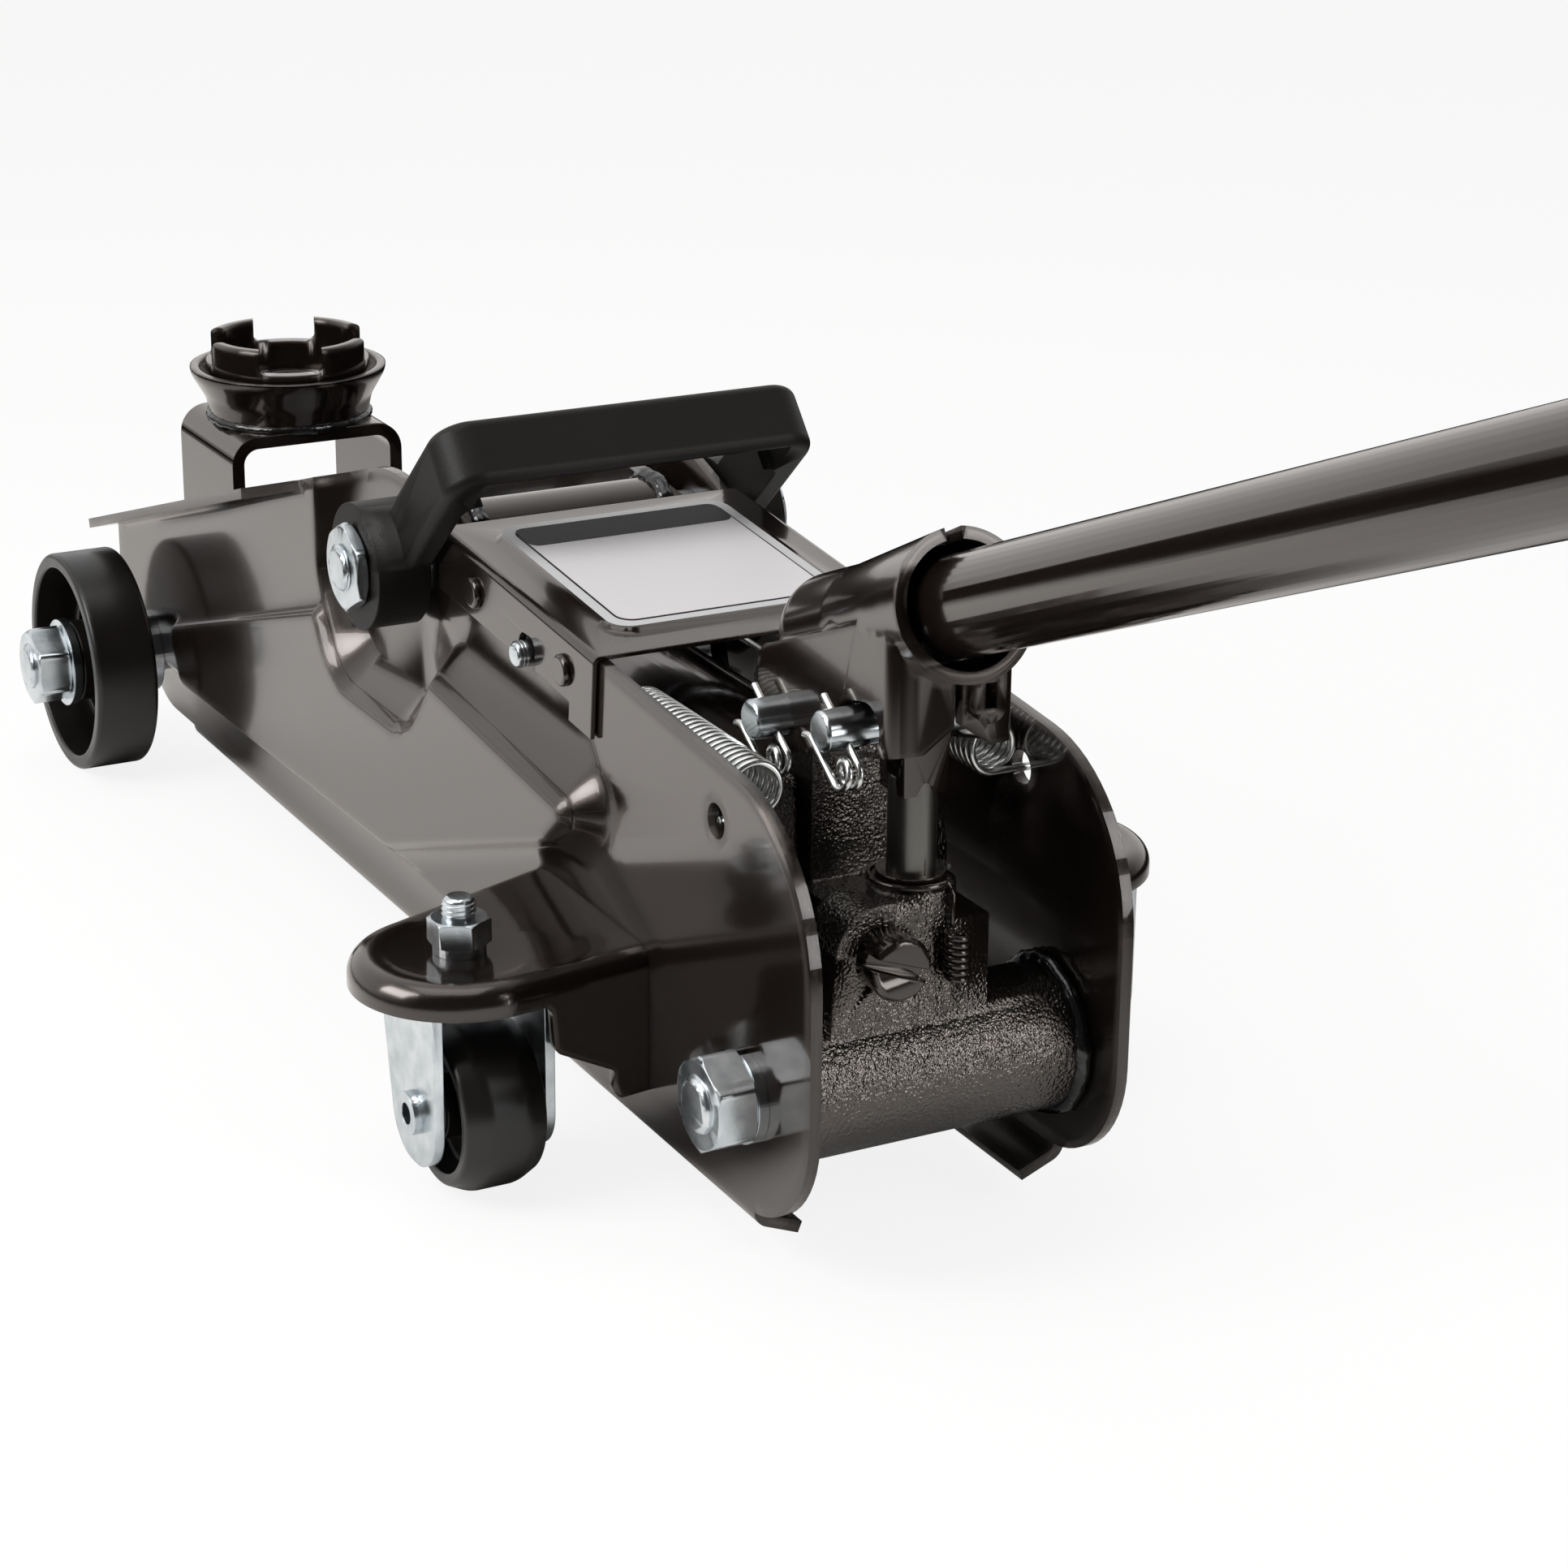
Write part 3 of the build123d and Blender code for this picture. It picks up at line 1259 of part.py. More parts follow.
# Return springs from the plates' rear holes to the crank, close wound with long hooks
coil_centre = Vector(coil_start_x, coil_y, hook_z + coil_r)
coil_edges, first, last = coil(
    coil_centre, X, Z * -1, Y * -1, coil_r, coil_pitch, coil_turns, Y * -1, Y * -1
)
hook_end = Vector(coil_start_x, frame_half - plate_t / 4, hook_z)
turn_in = last + X * hook_r - Y * hook_r
wire_end = Vector(hook_x - hook_bend, turn_in.Y, hook_z)
turn_out = wire_end + X * hook_bend + Y * hook_bend
tip = Vector(hook_x, turn_out.Y + 3 * wire_r, hook_z)
spring = tube_along(
    [Line(hook_end, first)]
    + coil_edges
    + [
        TangentArc(last, turn_in, tangent=Y * -1),
        Line(turn_in, wire_end),
        TangentArc(wire_end, turn_out, tangent=X),
        Line(turn_out, tip),
    ],
    wire_r,
)
parts["left_return_spring"] = spring
parts["right_return_spring"] = mirrored(spring)
trail = [tuple(edge @ (k / 8)) for edge in coil_edges for k in range(8)]
turn_points = 4 * 8
least = min(
    dist(a, b)
    for i, a in enumerate(trail)
    for b in trail[i + turn_points // 2 : i + 2 * turn_points]
)
print("least gap between curls", round(least - 2 * wire_r, 2))

# Place the middle of the whole at zero along X and write the nodes
nodes = {name: part if isinstance(part, list) else [part] for name, part in parts.items()}
boxes = [one.bounding_box() for group in nodes.values() for one in group]
shift = -(min(b.min.X for b in boxes) + max(b.max.X for b in boxes)) / 2
for name, group in nodes.items():
    placed = [Pos(shift, 0, 0) * solid for one in group for solid in one.solids()]
    export_step(placed[0] if len(placed) == 1 else Compound(children=placed), f"parts/{name}.step")
print("shift", round(shift, 3), "nodes", len(parts))
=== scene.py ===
import json
import math

import bpy
from mathutils import Matrix, Vector

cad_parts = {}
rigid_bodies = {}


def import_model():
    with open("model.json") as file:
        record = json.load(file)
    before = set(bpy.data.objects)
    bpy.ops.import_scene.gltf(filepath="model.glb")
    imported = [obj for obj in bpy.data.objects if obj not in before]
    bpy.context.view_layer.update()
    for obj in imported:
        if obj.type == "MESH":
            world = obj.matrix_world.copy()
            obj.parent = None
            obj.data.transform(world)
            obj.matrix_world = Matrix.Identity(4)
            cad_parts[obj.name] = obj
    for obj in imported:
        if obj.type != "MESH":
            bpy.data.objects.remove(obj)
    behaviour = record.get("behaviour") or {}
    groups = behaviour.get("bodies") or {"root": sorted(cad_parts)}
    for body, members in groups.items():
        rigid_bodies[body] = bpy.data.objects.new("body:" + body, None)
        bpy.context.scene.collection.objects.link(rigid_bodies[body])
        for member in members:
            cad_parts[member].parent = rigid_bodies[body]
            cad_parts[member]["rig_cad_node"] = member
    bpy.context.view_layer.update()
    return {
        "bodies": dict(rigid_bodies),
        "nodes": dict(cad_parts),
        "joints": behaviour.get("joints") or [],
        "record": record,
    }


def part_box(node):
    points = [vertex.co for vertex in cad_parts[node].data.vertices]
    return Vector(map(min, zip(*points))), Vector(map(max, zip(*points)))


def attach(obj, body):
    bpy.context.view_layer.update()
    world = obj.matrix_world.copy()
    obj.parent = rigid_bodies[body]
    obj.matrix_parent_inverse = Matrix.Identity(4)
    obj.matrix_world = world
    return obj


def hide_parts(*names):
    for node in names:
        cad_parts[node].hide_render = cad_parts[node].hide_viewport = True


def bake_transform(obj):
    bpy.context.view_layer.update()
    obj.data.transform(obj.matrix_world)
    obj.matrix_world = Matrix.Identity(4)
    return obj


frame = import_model()
nodes = frame["nodes"]
bodyOf = {node: body for body, group in frame["record"]["behaviour"]["bodies"].items() for node in group}
slotOf = {sub["node"]: sub["material_slot"] for sub in frame["record"]["subparts"]}
jointAt = {joint["name"]: Vector(joint["pos_m"]) for joint in frame["joints"] if "pos_m" in joint}
mm = 0.001
sides = (("left", 1), ("right", -1))
print("frame loaded,", len(nodes), "nodes")


# picking and finishing
def clearPick():
    if bpy.context.mode != "OBJECT":
        bpy.ops.object.mode_set(mode="OBJECT")
    bpy.ops.object.select_all(action="DESELECT")


def pick(obj):
    clearPick()
    obj.select_set(True)
    bpy.context.view_layer.objects.active = obj


def applyAll(obj):
    pick(obj)
    for modifier in list(obj.modifiers):
        bpy.ops.object.modifier_apply(modifier=modifier.name)


def editAll(obj):
    pick(obj)
    bpy.ops.object.mode_set(mode="EDIT")
    bpy.ops.mesh.select_all(action="SELECT")


def pickFaces(obj, test):
    editAll(obj)
    bpy.ops.mesh.select_all(action="DESELECT")
    bpy.ops.mesh.select_mode(type="FACE")
    bpy.ops.object.mode_set(mode="OBJECT")
    for face in obj.data.polygons:
        face.select = test(face)
    bpy.ops.object.mode_set(mode="EDIT")


def settle(obj, name, material, body, smooth):
    pick(obj)
    bpy.ops.object.transform_apply(location=True, rotation=True, scale=True)
    bpy.ops.object.shade_smooth_by_angle(angle=math.radians(smooth))
    even = obj.modifiers.new("even", "WEIGHTED_NORMAL")  # flats stay flat beside their bends
    even.keep_sharp = True
    applyAll(obj)
    obj.name = name
    obj.data.materials.clear()
    obj.data.materials.append(material)
    if body in frame["bodies"]:
        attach(obj, body)


def facing(direction):
    return Vector((0, 0, 1)).rotation_difference(Vector(direction)).to_euler()


# colours and nodes
def hexColour(code):
    channels = [int(code[k : k + 2], 16) / 255 for k in (1, 3, 5)]
    linear = [c / 12.92 if c <= 0.04045 else ((c + 0.055) / 1.055) ** 2.4 for c in channels]
    return (*linear, 1.0)


def addNode(tree, kind, settings=None, links=None):
    node = tree.nodes.new(kind)
    for key, value in (settings or {}).items():
        if isinstance(key, int) or key in node.inputs:
            node.inputs[key].default_value = value
        else:
            setattr(node, key, value)
    for key, socket in (links or {}).items():
        tree.links.new(socket, node.inputs[key])
    return node


def startMaterial(name, settings):
    material = bpy.data.materials.new(name)
    material.use_nodes = True
    tree = material.node_tree
    shader = tree.nodes["Principled BSDF"]
    for key, value in settings.items():
        shader.inputs[key].default_value = value
    place = addNode(tree, "ShaderNodeTexCoord").outputs["Object"]
    return material, tree, shader, place


def softEdge(tree, shader, radius, bump=None):  # worn-round edges that catch the light
    edge = addNode(tree, "ShaderNodeBevel", {"samples": 4, "Radius": radius})
    if bump is None:
        tree.links.new(edge.outputs["Normal"], shader.inputs["Normal"])
    else:
        tree.links.new(edge.outputs["Normal"], bump.inputs["Normal"])
        tree.links.new(bump.outputs["Normal"], shader.inputs["Normal"])


# pressed steel under stoved black enamel: deep warm black under a clear gloss, with a faint wave in the mirror
enamelLook = {
    "colour": "#14100e",
    "warm": "#fdf4ee",
    "wave": 9 * mm,
    "waveHeight": 0.03 * mm,
    "haze": 40 * mm,
    "glossLeast": 0.1,
    "glossMost": 0.19,
    "edge": 0.6 * mm,
    "foldEdge": 2.0 * mm,
    "pressEdge": 5.0 * mm,
}


def stovedEnamel(name, edge):
    material, tree, shader, place = startMaterial(
        name,
        {
            "Base Color": hexColour(enamelLook["colour"]),
            "IOR": 1.55,
            "Coat Weight": 0.6,
            "Coat Roughness": 0.07,
            "Coat IOR": 1.5,
            "Specular Tint": hexColour(enamelLook["warm"]),
            "Coat Tint": hexColour(enamelLook["warm"]),
        },
    )
    haze = addNode(
        tree, "ShaderNodeTexNoise", {"Scale": 1 / enamelLook["haze"], "Detail": 4.0}, {"Vector": place}
    )
    gloss = addNode(
        tree,
        "ShaderNodeMapRange",
        {"To Min": enamelLook["glossLeast"], "To Max": enamelLook["glossMost"]},
        {"Value": haze.outputs["Fac"]},
    )
    tree.links.new(gloss.outputs["Result"], shader.inputs["Roughness"])
    wave = addNode(
        tree, "ShaderNodeTexNoise", {"Scale": 1 / enamelLook["wave"], "Detail": 1.0}, {"Vector": place}
    )
    bump = addNode(
        tree,
        "ShaderNodeBump",
        {"Strength": 0.5, "Distance": enamelLook["waveHeight"]},
        {"Height": wave.outputs["Fac"]},
    )
    softEdge(tree, shader, edge, bump)
    return material


# sand-cast iron dipped in black paint: lumpy skin with small wet-looking lights
castLook = {
    "colour": "#120f0d",
    "warm": "#fbf0e8",
    "grit": 0.9 * mm,
    "lump": 8 * mm,
    "lumpShare": 0.7,
    "gritHeight": 0.45 * mm,
    "edge": 1.2 * mm,
}


def paintedCasting():
    material, tree, shader, place = startMaterial(
        "paintedSandCastIron",
        {
            "Base Color": hexColour(castLook["colour"]),
            "IOR": 1.9,
            "Roughness": 0.16,
            "Specular Tint": hexColour(castLook["warm"]),
        },
    )
    grit = addNode(
        tree,
        "ShaderNodeTexNoise",
        {"Scale": 1 / castLook["grit"], "Detail": 1.5, "Roughness": 0.5},
        {"Vector": place},
    )
    lump = addNode(tree, "ShaderNodeTexNoise", {"Scale": 1 / castLook["lump"], "Detail": 2.0}, {"Vector": place})
    skin = addNode(
        tree,
        "ShaderNodeMath",
        {"operation": "MULTIPLY_ADD", 1: castLook["lumpShare"]},
        {0: lump.outputs["Fac"], 2: grit.outputs["Fac"]},
    )
    bump = addNode(
        tree, "ShaderNodeBump", {"Distance": castLook["gritHeight"]}, {"Height": skin.outputs["Value"]}
    )
    softEdge(tree, shader, castLook["edge"], bump)
    return material


# mild steel with clear zinc plating: cool grey metal, cloudy from the bath, soft lights
zincLook = {
    "colour": "#d8dde0",
    "cloud": "#b6bdc1",
    "bath": 6 * mm,
    "grain": 0.5 * mm,
    "grainHeight": 0.04 * mm,
    "edge": 0.35 * mm,
}


def clearZinc():
    material, tree, shader, place = startMaterial("clearZincPlate", {"Metallic": 1.0, "Roughness": 0.3})
    bath = addNode(
        tree, "ShaderNodeTexNoise", {"Scale": 1 / zincLook["bath"], "Detail": 6.0}, {"Vector": place}
    )
    tone = addNode(tree, "ShaderNodeValToRGB", {}, {"Fac": bath.outputs["Fac"]})
    tone.color_ramp.elements[0].position = 0.3
    tone.color_ramp.elements[0].color = hexColour(zincLook["cloud"])
    tone.color_ramp.elements[1].position = 0.65
    tone.color_ramp.elements[1].color = hexColour(zincLook["colour"])
    tree.links.new(tone.outputs["Color"], shader.inputs["Base Color"])
    gloss = addNode(
        tree, "ShaderNodeMapRange", {"To Min": 0.16, "To Max": 0.3}, {"Value": bath.outputs["Fac"]}
    )
    tree.links.new(gloss.outputs["Result"], shader.inputs["Roughness"])
    grain = addNode(tree, "ShaderNodeTexNoise", {"Scale": 1 / zincLook["grain"], "Detail": 2.0}, {"Vector": place})
    bump = addNode(
        tree,
        "ShaderNodeBump",
        {"Strength": 0.2, "Distance": zincLook["grainHeight"]},
        {"Height": grain.outputs["Fac"]},
    )
    softEdge(tree, shader, zincLook["edge"], bump)
    return material


# glass-filled nylon from a spark-eroded mould: dull black, fine even grain, broad weak lights
nylonLook = {
    "colour": "#120f0d",
    "scuff": "#191512",
    "patch": 30 * mm,
    "grain": 0.8 * mm,
    "grainHeight": 0.1 * mm,
    "edge": 0.8 * mm,
}


def mouldedNylon():
    material, tree, shader, place = startMaterial(
        "mouldedGrainNylon", {"Specular IOR Level": 0.22, "Roughness": 0.48}
    )
    grain = addNode(
        tree, "ShaderNodeTexVoronoi", {"Scale": 1 / nylonLook["grain"], "feature": "F1"}, {"Vector": place}
    )
    scuff = addNode(
        tree, "ShaderNodeTexNoise", {"Scale": 1 / nylonLook["patch"], "Detail": 6.0}, {"Vector": place}
    )
    tone = addNode(tree, "ShaderNodeValToRGB", {}, {"Fac": scuff.outputs["Fac"]})
    tone.color_ramp.elements[0].position = 0.35
    tone.color_ramp.elements[0].color = hexColour(nylonLook["colour"])
    tone.color_ramp.elements[1].color = hexColour(nylonLook["scuff"])
    tree.links.new(tone.outputs["Color"], shader.inputs["Base Color"])
    bump = addNode(
        tree,
        "ShaderNodeBump",
        {"Strength": 0.25, "Distance": nylonLook["grainHeight"]},
        {"Height": grain.outputs["Distance"]},
    )
    softEdge(tree, shader, nylonLook["edge"], bump)
    return material


# polypropylene wheel from a polished mould: black with a waxy shine, duller in patches
wheelLook = {"colour": "#110e0c", "patch": "#181411", "wax": 12 * mm, "edge": 0.7 * mm}


def polishedPolypropylene():
    material, tree, shader, place = startMaterial("polishedPolypropylene", {"IOR": 1.49, "Roughness": 0.3})
    wax = addNode(tree, "ShaderNodeTexNoise", {"Scale": 1 / wheelLook["wax"], "Detail": 5.0}, {"Vector": place})
    tone = addNode(tree, "ShaderNodeValToRGB", {}, {"Fac": wax.outputs["Fac"]})
    tone.color_ramp.elements[0].color = hexColour(wheelLook["colour"])
    tone.color_ramp.elements[1].color = hexColour(wheelLook["patch"])
    tree.links.new(tone.outputs["Color"], shader.inputs["Base Color"])
    gloss = addNode(
        tree, "ShaderNodeMapRange", {"To Min": 0.22, "To Max": 0.4}, {"Value": wax.outputs["Fac"]}
    )
    tree.links.new(gloss.outputs["Result"], shader.inputs["Roughness"])
    softEdge(tree, shader, wheelLook["edge"])
    return material


# centreless-ground steel: grey metal with a fine even grain and soft lights
groundLook = {"colour": "#6f6d69", "grain": 0.35 * mm, "grainHeight": 0.03 * mm, "edge": 0.3 * mm}


def groundSteel():
    material, tree, shader, place = startMaterial(
        "centrelessGroundSteel",
        {"Base Color": hexColour(groundLook["colour"]), "Metallic": 1.0, "Roughness": 0.34},
    )
    grain = addNode(
        tree, "ShaderNodeTexNoise", {"Scale": 1 / groundLook["grain"], "Detail": 3.0}, {"Vector": place}
    )
    bump = addNode(
        tree,
        "ShaderNodeBump",
        {"Strength": 0.2, "Distance": groundLook["grainHeight"]},
        {"Height": grain.outputs["Fac"]},
    )
    softEdge(tree, shader, groundLook["edge"], bump)
    return material


# drawn spring wire, bright plated: white lines of light along each curl
wireLook = {"colour": "#cfd0ce", "draw": 1.5 * mm}


def platedWire():
    material, tree, shader, place = startMaterial(
        "brightDrawnWire", {"Base Color": hexColour(wireLook["colour"]), "Metallic": 1.0, "Roughness": 0.2}
    )
    draw = addNode(tree, "ShaderNodeTexNoise", {"Scale": 1 / wireLook["draw"], "Detail": 4.0}, {"Vector": place})
    gloss = addNode(
        tree, "ShaderNodeMapRange", {"To Min": 0.14, "To Max": 0.32}, {"Value": draw.outputs["Fac"]}
    )
    tree.links.new(gloss.outputs["Result"], shader.inputs["Roughness"])
    return material


# welded seam under enamel: rippled black with tight lights
weldLook = {"colour": "#0e0d0d", "ripple": 1.6 * mm, "rippleHeight": 0.4 * mm}


def enamelledWeld():
    material, tree, shader, place = startMaterial(
        "enamelledWeldBead", {"Base Color": hexColour(weldLook["colour"]), "IOR": 1.58, "Roughness": 0.18}
    )
    ripple = addNode(
        tree, "ShaderNodeTexNoise", {"Scale": 1 / weldLook["ripple"], "Detail": 2.0}, {"Vector": place}
    )
    bump = addNode(
        tree,
        "ShaderNodeBump",
        {"Strength": 0.5, "Distance": weldLook["rippleHeight"]},
        {"Height": ripple.outputs["Fac"]},
    )
    tree.links.new(bump.outputs["Normal"], shader.inputs["Normal"])
    return material


# screen-printed vinyl, each ink a flat satin tone
labelLook = {
    "margin": "#bdbdbd",
    "ink": "#171516",
    "field": "#cbc8c9",
    "grain": 0.4 * mm,
    "grainHeight": 0.02 * mm,
}


def printedVinyl(name, ink):
    material, tree, shader, place = startMaterial(
        name, {"Base Color": hexColour(ink), "Specular IOR Level": 0.06, "Roughness": 0.4}
    )
    grain = addNode(
        tree, "ShaderNodeTexNoise", {"Scale": 1 / labelLook["grain"], "Detail": 2.0}, {"Vector": place}
    )
    bump = addNode(
        tree,
        "ShaderNodeBump",
        {"Strength": 0.1, "Distance": labelLook["grainHeight"]},
        {"Height": grain.outputs["Fac"]},
    )
    tree.links.new(bump.outputs["Normal"], shader.inputs["Normal"])
    return material


enamel = stovedEnamel("stovedBlackEnamel", enamelLook["edge"])
foldEnamel = stovedEnamel("stovedEnamelOnFoldedSteel", enamelLook["foldEdge"])
pressEnamel = stovedEnamel("stovedEnamelOnPressedSteel", enamelLook["pressEdge"])
casting = paintedCasting()
zinc = clearZinc()
nylon = mouldedNylon()
wheelPlastic = polishedPolypropylene()
ground = groundSteel()
wire = platedWire()
weld = enamelledWeld()
labelMargin = printedVinyl("silverVinylMargin", labelLook["margin"])
labelInk = printedVinyl("blackVinylInk", labelLook["ink"])
labelField = printedVinyl("whiteVinylField", labelLook["field"])
slotFinish = {
    "black_enamel": enamel,
    "black_casting": casting,
    "zinc_plate": zinc,
    "black_plastic": wheelPlastic,
    "bright_steel": ground,
    "spring_wire": wire,
    "seal_rubber": nylon,
}
nodeFinish = {
    "left_side_plate": pressEnamel,
    "right_side_plate": pressEnamel,
    "left_caster_bracket": foldEnamel,
    "right_caster_bracket": foldEnamel,
    "handle_socket": foldEnamel,
    "saddle": foldEnamel,
    "saddle_cup": foldEnamel,
    "carry_handle": nylon,
    "handle_end_cap": nylon,
    "cover_screws": enamel,
    "pump_gland": enamel,
    "cross_stud": zinc,
}
print("materials made")


# every solid gets a welded copy of its skin, so that round faces shade round
skinAngle = {"handle_socket": 28.0, "saddle": 40.0, "others": 30.0}
returnSpring = {
    "nodes": ("left_return_spring", "right_return_spring"),
    "wire": 1.0 * mm,
    "coil": 65.0 * mm,
    "share": 0.4307,  # the hook's part of the ram's travel
    "far": 100.0,  # a reach so long that it spans the whole hook
}
skins = {}
for nodeName, node in nodes.items():
    skin = node.copy()
    skin.data = node.data.copy()
    del skin["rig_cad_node"]
    bpy.context.scene.collection.objects.link(skin)
    editAll(skin)
    bpy.ops.mesh.remove_doubles(threshold=0.002 * mm)
    bpy.ops.object.mode_set(mode="OBJECT")
    finish = nodeFinish.get(nodeName, slotFinish[slotOf[nodeName]])
    carrier = bodyOf[nodeName] if nodeName not in returnSpring["nodes"] else None
    settle(skin, "skin_" + nodeName, finish, carrier, skinAngle.get(nodeName, skinAngle["others"]))
    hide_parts(nodeName)
    skins[nodeName] = skin

# each return spring's skin is cut where its coil ends, into the coil and its long hook, and both are baked in
# place
for nodeName in returnSpring["nodes"]:
    spring = skins[nodeName]
    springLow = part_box(nodeName)[0]
    rear = Vector((springLow.x + returnSpring["wire"], 0, springLow.z))
    cut = rear + Vector((returnSpring["coil"], 0, 0))
    pick(spring)
    bpy.ops.object.parent_clear(type="CLEAR_KEEP_TRANSFORM")
    bpy.ops.object.transform_apply(location=True, rotation=True, scale=True)
    pickFaces(spring, lambda face: face.center.x > cut.x)
    bpy.ops.mesh.separate(type="SELECTED")
    bpy.ops.object.mode_set(mode="OBJECT")
    hook = next(obj for obj in bpy.context.selected_objects if obj != spring)
    hook.name = spring.name + "_hook"
    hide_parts(nodeName)
    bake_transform(spring)
    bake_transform(hook)

# the plunger is bare steel up to a height above the gland, and takes the black enamel above that height, over its
# eye
plungerEye = {"clear": 14.0 * mm}
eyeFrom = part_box("pump_gland")[1].z + plungerEye["clear"]
plunger = skins["pump_plunger"]
plunger.data.materials.append(enamel)
pickFaces(plunger, lambda face: face.center.z > eyeFrom)
plunger.active_material_index = 1
bpy.ops.object.material_slot_assign()
bpy.ops.object.mode_set(mode="OBJECT")
print("skins made,", len(skins))


# rolled threads on the ends of the bolt, axle, stud, kingpins and pivot shaft
threadForm = {"ridge": 0.52, "steps": 40, "smooth": 30.0}


def rollThread(name, spec, start, way):
    clearPick()
    bpy.ops.mesh.primitive_circle_add(
        vertices=3,
        radius=spec["pitch"] * threadForm["ridge"],
        fill_type="NGON",
        rotation=(math.pi / 2, math.pi / 2, 0),
    )
    ridge = bpy.context.object
    bpy.ops.object.transform_apply(location=True, rotation=True, scale=True)
    editAll(ridge)
    bpy.ops.transform.translate(value=(spec["core"], 0, 0))
    bpy.ops.object.mode_set(mode="OBJECT")
    turns = ridge.modifiers.new("turns", "SCREW")
    turns.axis = "Z"
    turns.screw_offset = spec["pitch"]
    turns.iterations = int(spec["length"] / spec["pitch"])
    turns.steps = turns.render_steps = threadForm["steps"]
    applyAll(ridge)
    editAll(ridge)
    bpy.ops.mesh.normals_make_consistent(inside=False)
    bpy.ops.object.mode_set(mode="OBJECT")
    ridge.rotation_euler = facing(way)
    ridge.location = start
    settle(ridge, name, zinc, "chassis", threadForm["smooth"])


def endOf(nodeName, sign):
    low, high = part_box(nodeName)
    tip = (low + high) / 2
    tip.y = high.y if sign > 0 else low.y
    return tip


rearBolt = {"core": 6.7 * mm, "pitch": 1.7 * mm, "length": 3.4 * mm, "shy": 4.4 * mm}
pivotEnd = {"core": 5.9 * mm, "pitch": 1.5 * mm, "length": 3.0 * mm, "shy": 3.6 * mm}
studEnd = {"core": 3.1 * mm, "pitch": 1.0 * mm, "length": 2.0 * mm, "shy": 3.2 * mm}
kingEnd = {"core": 3.7 * mm, "pitch": 1.25 * mm, "length": 3.8 * mm, "shy": 4.7 * mm}
threaded = (
    ("rear_bolt", rearBolt, "rear_cross_bolt"),
    ("axle", rearBolt, "front_axle"),
    ("pivot", pivotEnd, "arm_pivot_shaft"),
    ("cover_stud", studEnd, "cross_stud"),
)
for side, sign in sides:
    for threadName, spec, holder in threaded:
        start = endOf(holder, sign) - Vector((0, sign * spec["shy"], 0))
        rollThread(f"{threadName}_thread_{side}", spec, start, (0, sign, 0))
    king = jointAt[f"{side}_caster_swivel"]
    start = Vector((king.x, king.y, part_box("caster_kingpins")[1].z - kingEnd["shy"]))
    rollThread(f"kingpin_thread_{side}", kingEnd, start, (0, 0, 1))
print("threads rolled")


# run of weld, or of paint, round a tube or cup
beadForm = {"around": 110, "across": 10, "push": 0.9, "smooth": 60.0}


def runWeld(name, spec, centre, body):
    clearPick()
    bpy.ops.mesh.primitive_torus_add(
        major_segments=beadForm["around"],
        minor_segments=beadForm["across"],
        major_radius=spec["radius"],
        minor_radius=spec["bead"],
    )
    bead = bpy.context.object
    lumps = bpy.data.textures.new(name + "_lumps", "CLOUDS")
    lumps.noise_scale = spec["lump"]
    push = bead.modifiers.new("lumps", "DISPLACE")
    push.texture = lumps
    push.texture_coords = "LOCAL"
    push.strength = spec["bead"] * beadForm["push"]
    push.mid_level = 0.5
    applyAll(bead)
    if "gap" in spec:  # no bead where a spring's hook passes
        start, stop = spec["gap"]
        pickFaces(bead, lambda face: start < math.atan2(face.center.y, face.center.x) % math.tau < stop)
        bpy.ops.mesh.delete(type="FACE")
        bpy.ops.mesh.select_all(action="SELECT")
        bpy.ops.mesh.fill_holes(sides=0)
        bpy.ops.object.mode_set(mode="OBJECT")
    bead.rotation_euler = facing(spec["way"])
    bead.location = centre
    settle(bead, name, weld, body, beadForm["smooth"])


tubeLow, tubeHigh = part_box("arm_pivot_tube")
tubeCentre = (tubeLow + tubeHigh) / 2
armWeld = {
    "radius": (tubeHigh.z - tubeLow.z) / 2,
    "bead": 2.4 * mm,
    "lump": 3.0 * mm,
    "way": (0, 1, 0),
    "shy": 1.6 * mm,
    "gap": (math.radians(80), math.radians(185)),
}
for side, sign in sides:
    centre = Vector((tubeCentre.x, sign * (tubeHigh.y - armWeld["shy"]), tubeCentre.z))
    runWeld(f"arm_tube_weld_{side}", armWeld, centre, "lift_arm")
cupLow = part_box("saddle_cup")[0]
cupWeld = {"radius": 25.4 * mm, "bead": 1.6 * mm, "lump": 3.0 * mm, "way": (0, 0, 1), "rise": 0.6 * mm}
centre = Vector((jointAt["saddle_swivel"].x, 0, cupLow.z + cupWeld["rise"]))
runWeld("cup_foot_weld", cupWeld, centre, "saddle_bracket")
boltLow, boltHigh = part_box("rear_cross_bolt")
boltX = (boltLow.x + boltHigh.x) / 2
boltZ = (boltLow.z + boltHigh.z) / 2
castEnd = {"radius": 18.6 * mm, "bead": 2.2 * mm, "lump": 5.0 * mm, "way": (0, 1, 0), "inner": 38.6 * mm}
for side, sign in sides:
    runWeld(f"cast_tube_paint_roll_{side}", castEnd, Vector((boltX, sign * castEnd["inner"], boltZ)), "chassis")
print("welds run")


# bare label on the raised pad of the cover: pale margin, dark frame line, white field and a dark band at its front
coverLow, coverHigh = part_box("top_cover")
label = {
    "slope": math.radians(5.0),
    "rim": 11.2 * mm,
    "half": 33.5 * mm,
    "corner": 6.0 * mm,
    "cornerSegments": 8,
    "cornerLoss": 0.4,
    "margin": 3.0 * mm,
    "line": 0.55 * mm,
    "band": 13.0 * mm,
    "lift": 0.1 * mm,
    "smooth": 30.0,
}
label["front"] = coverHigh.x - label["rim"]
label["rear"] = coverLow.x + label["rim"]


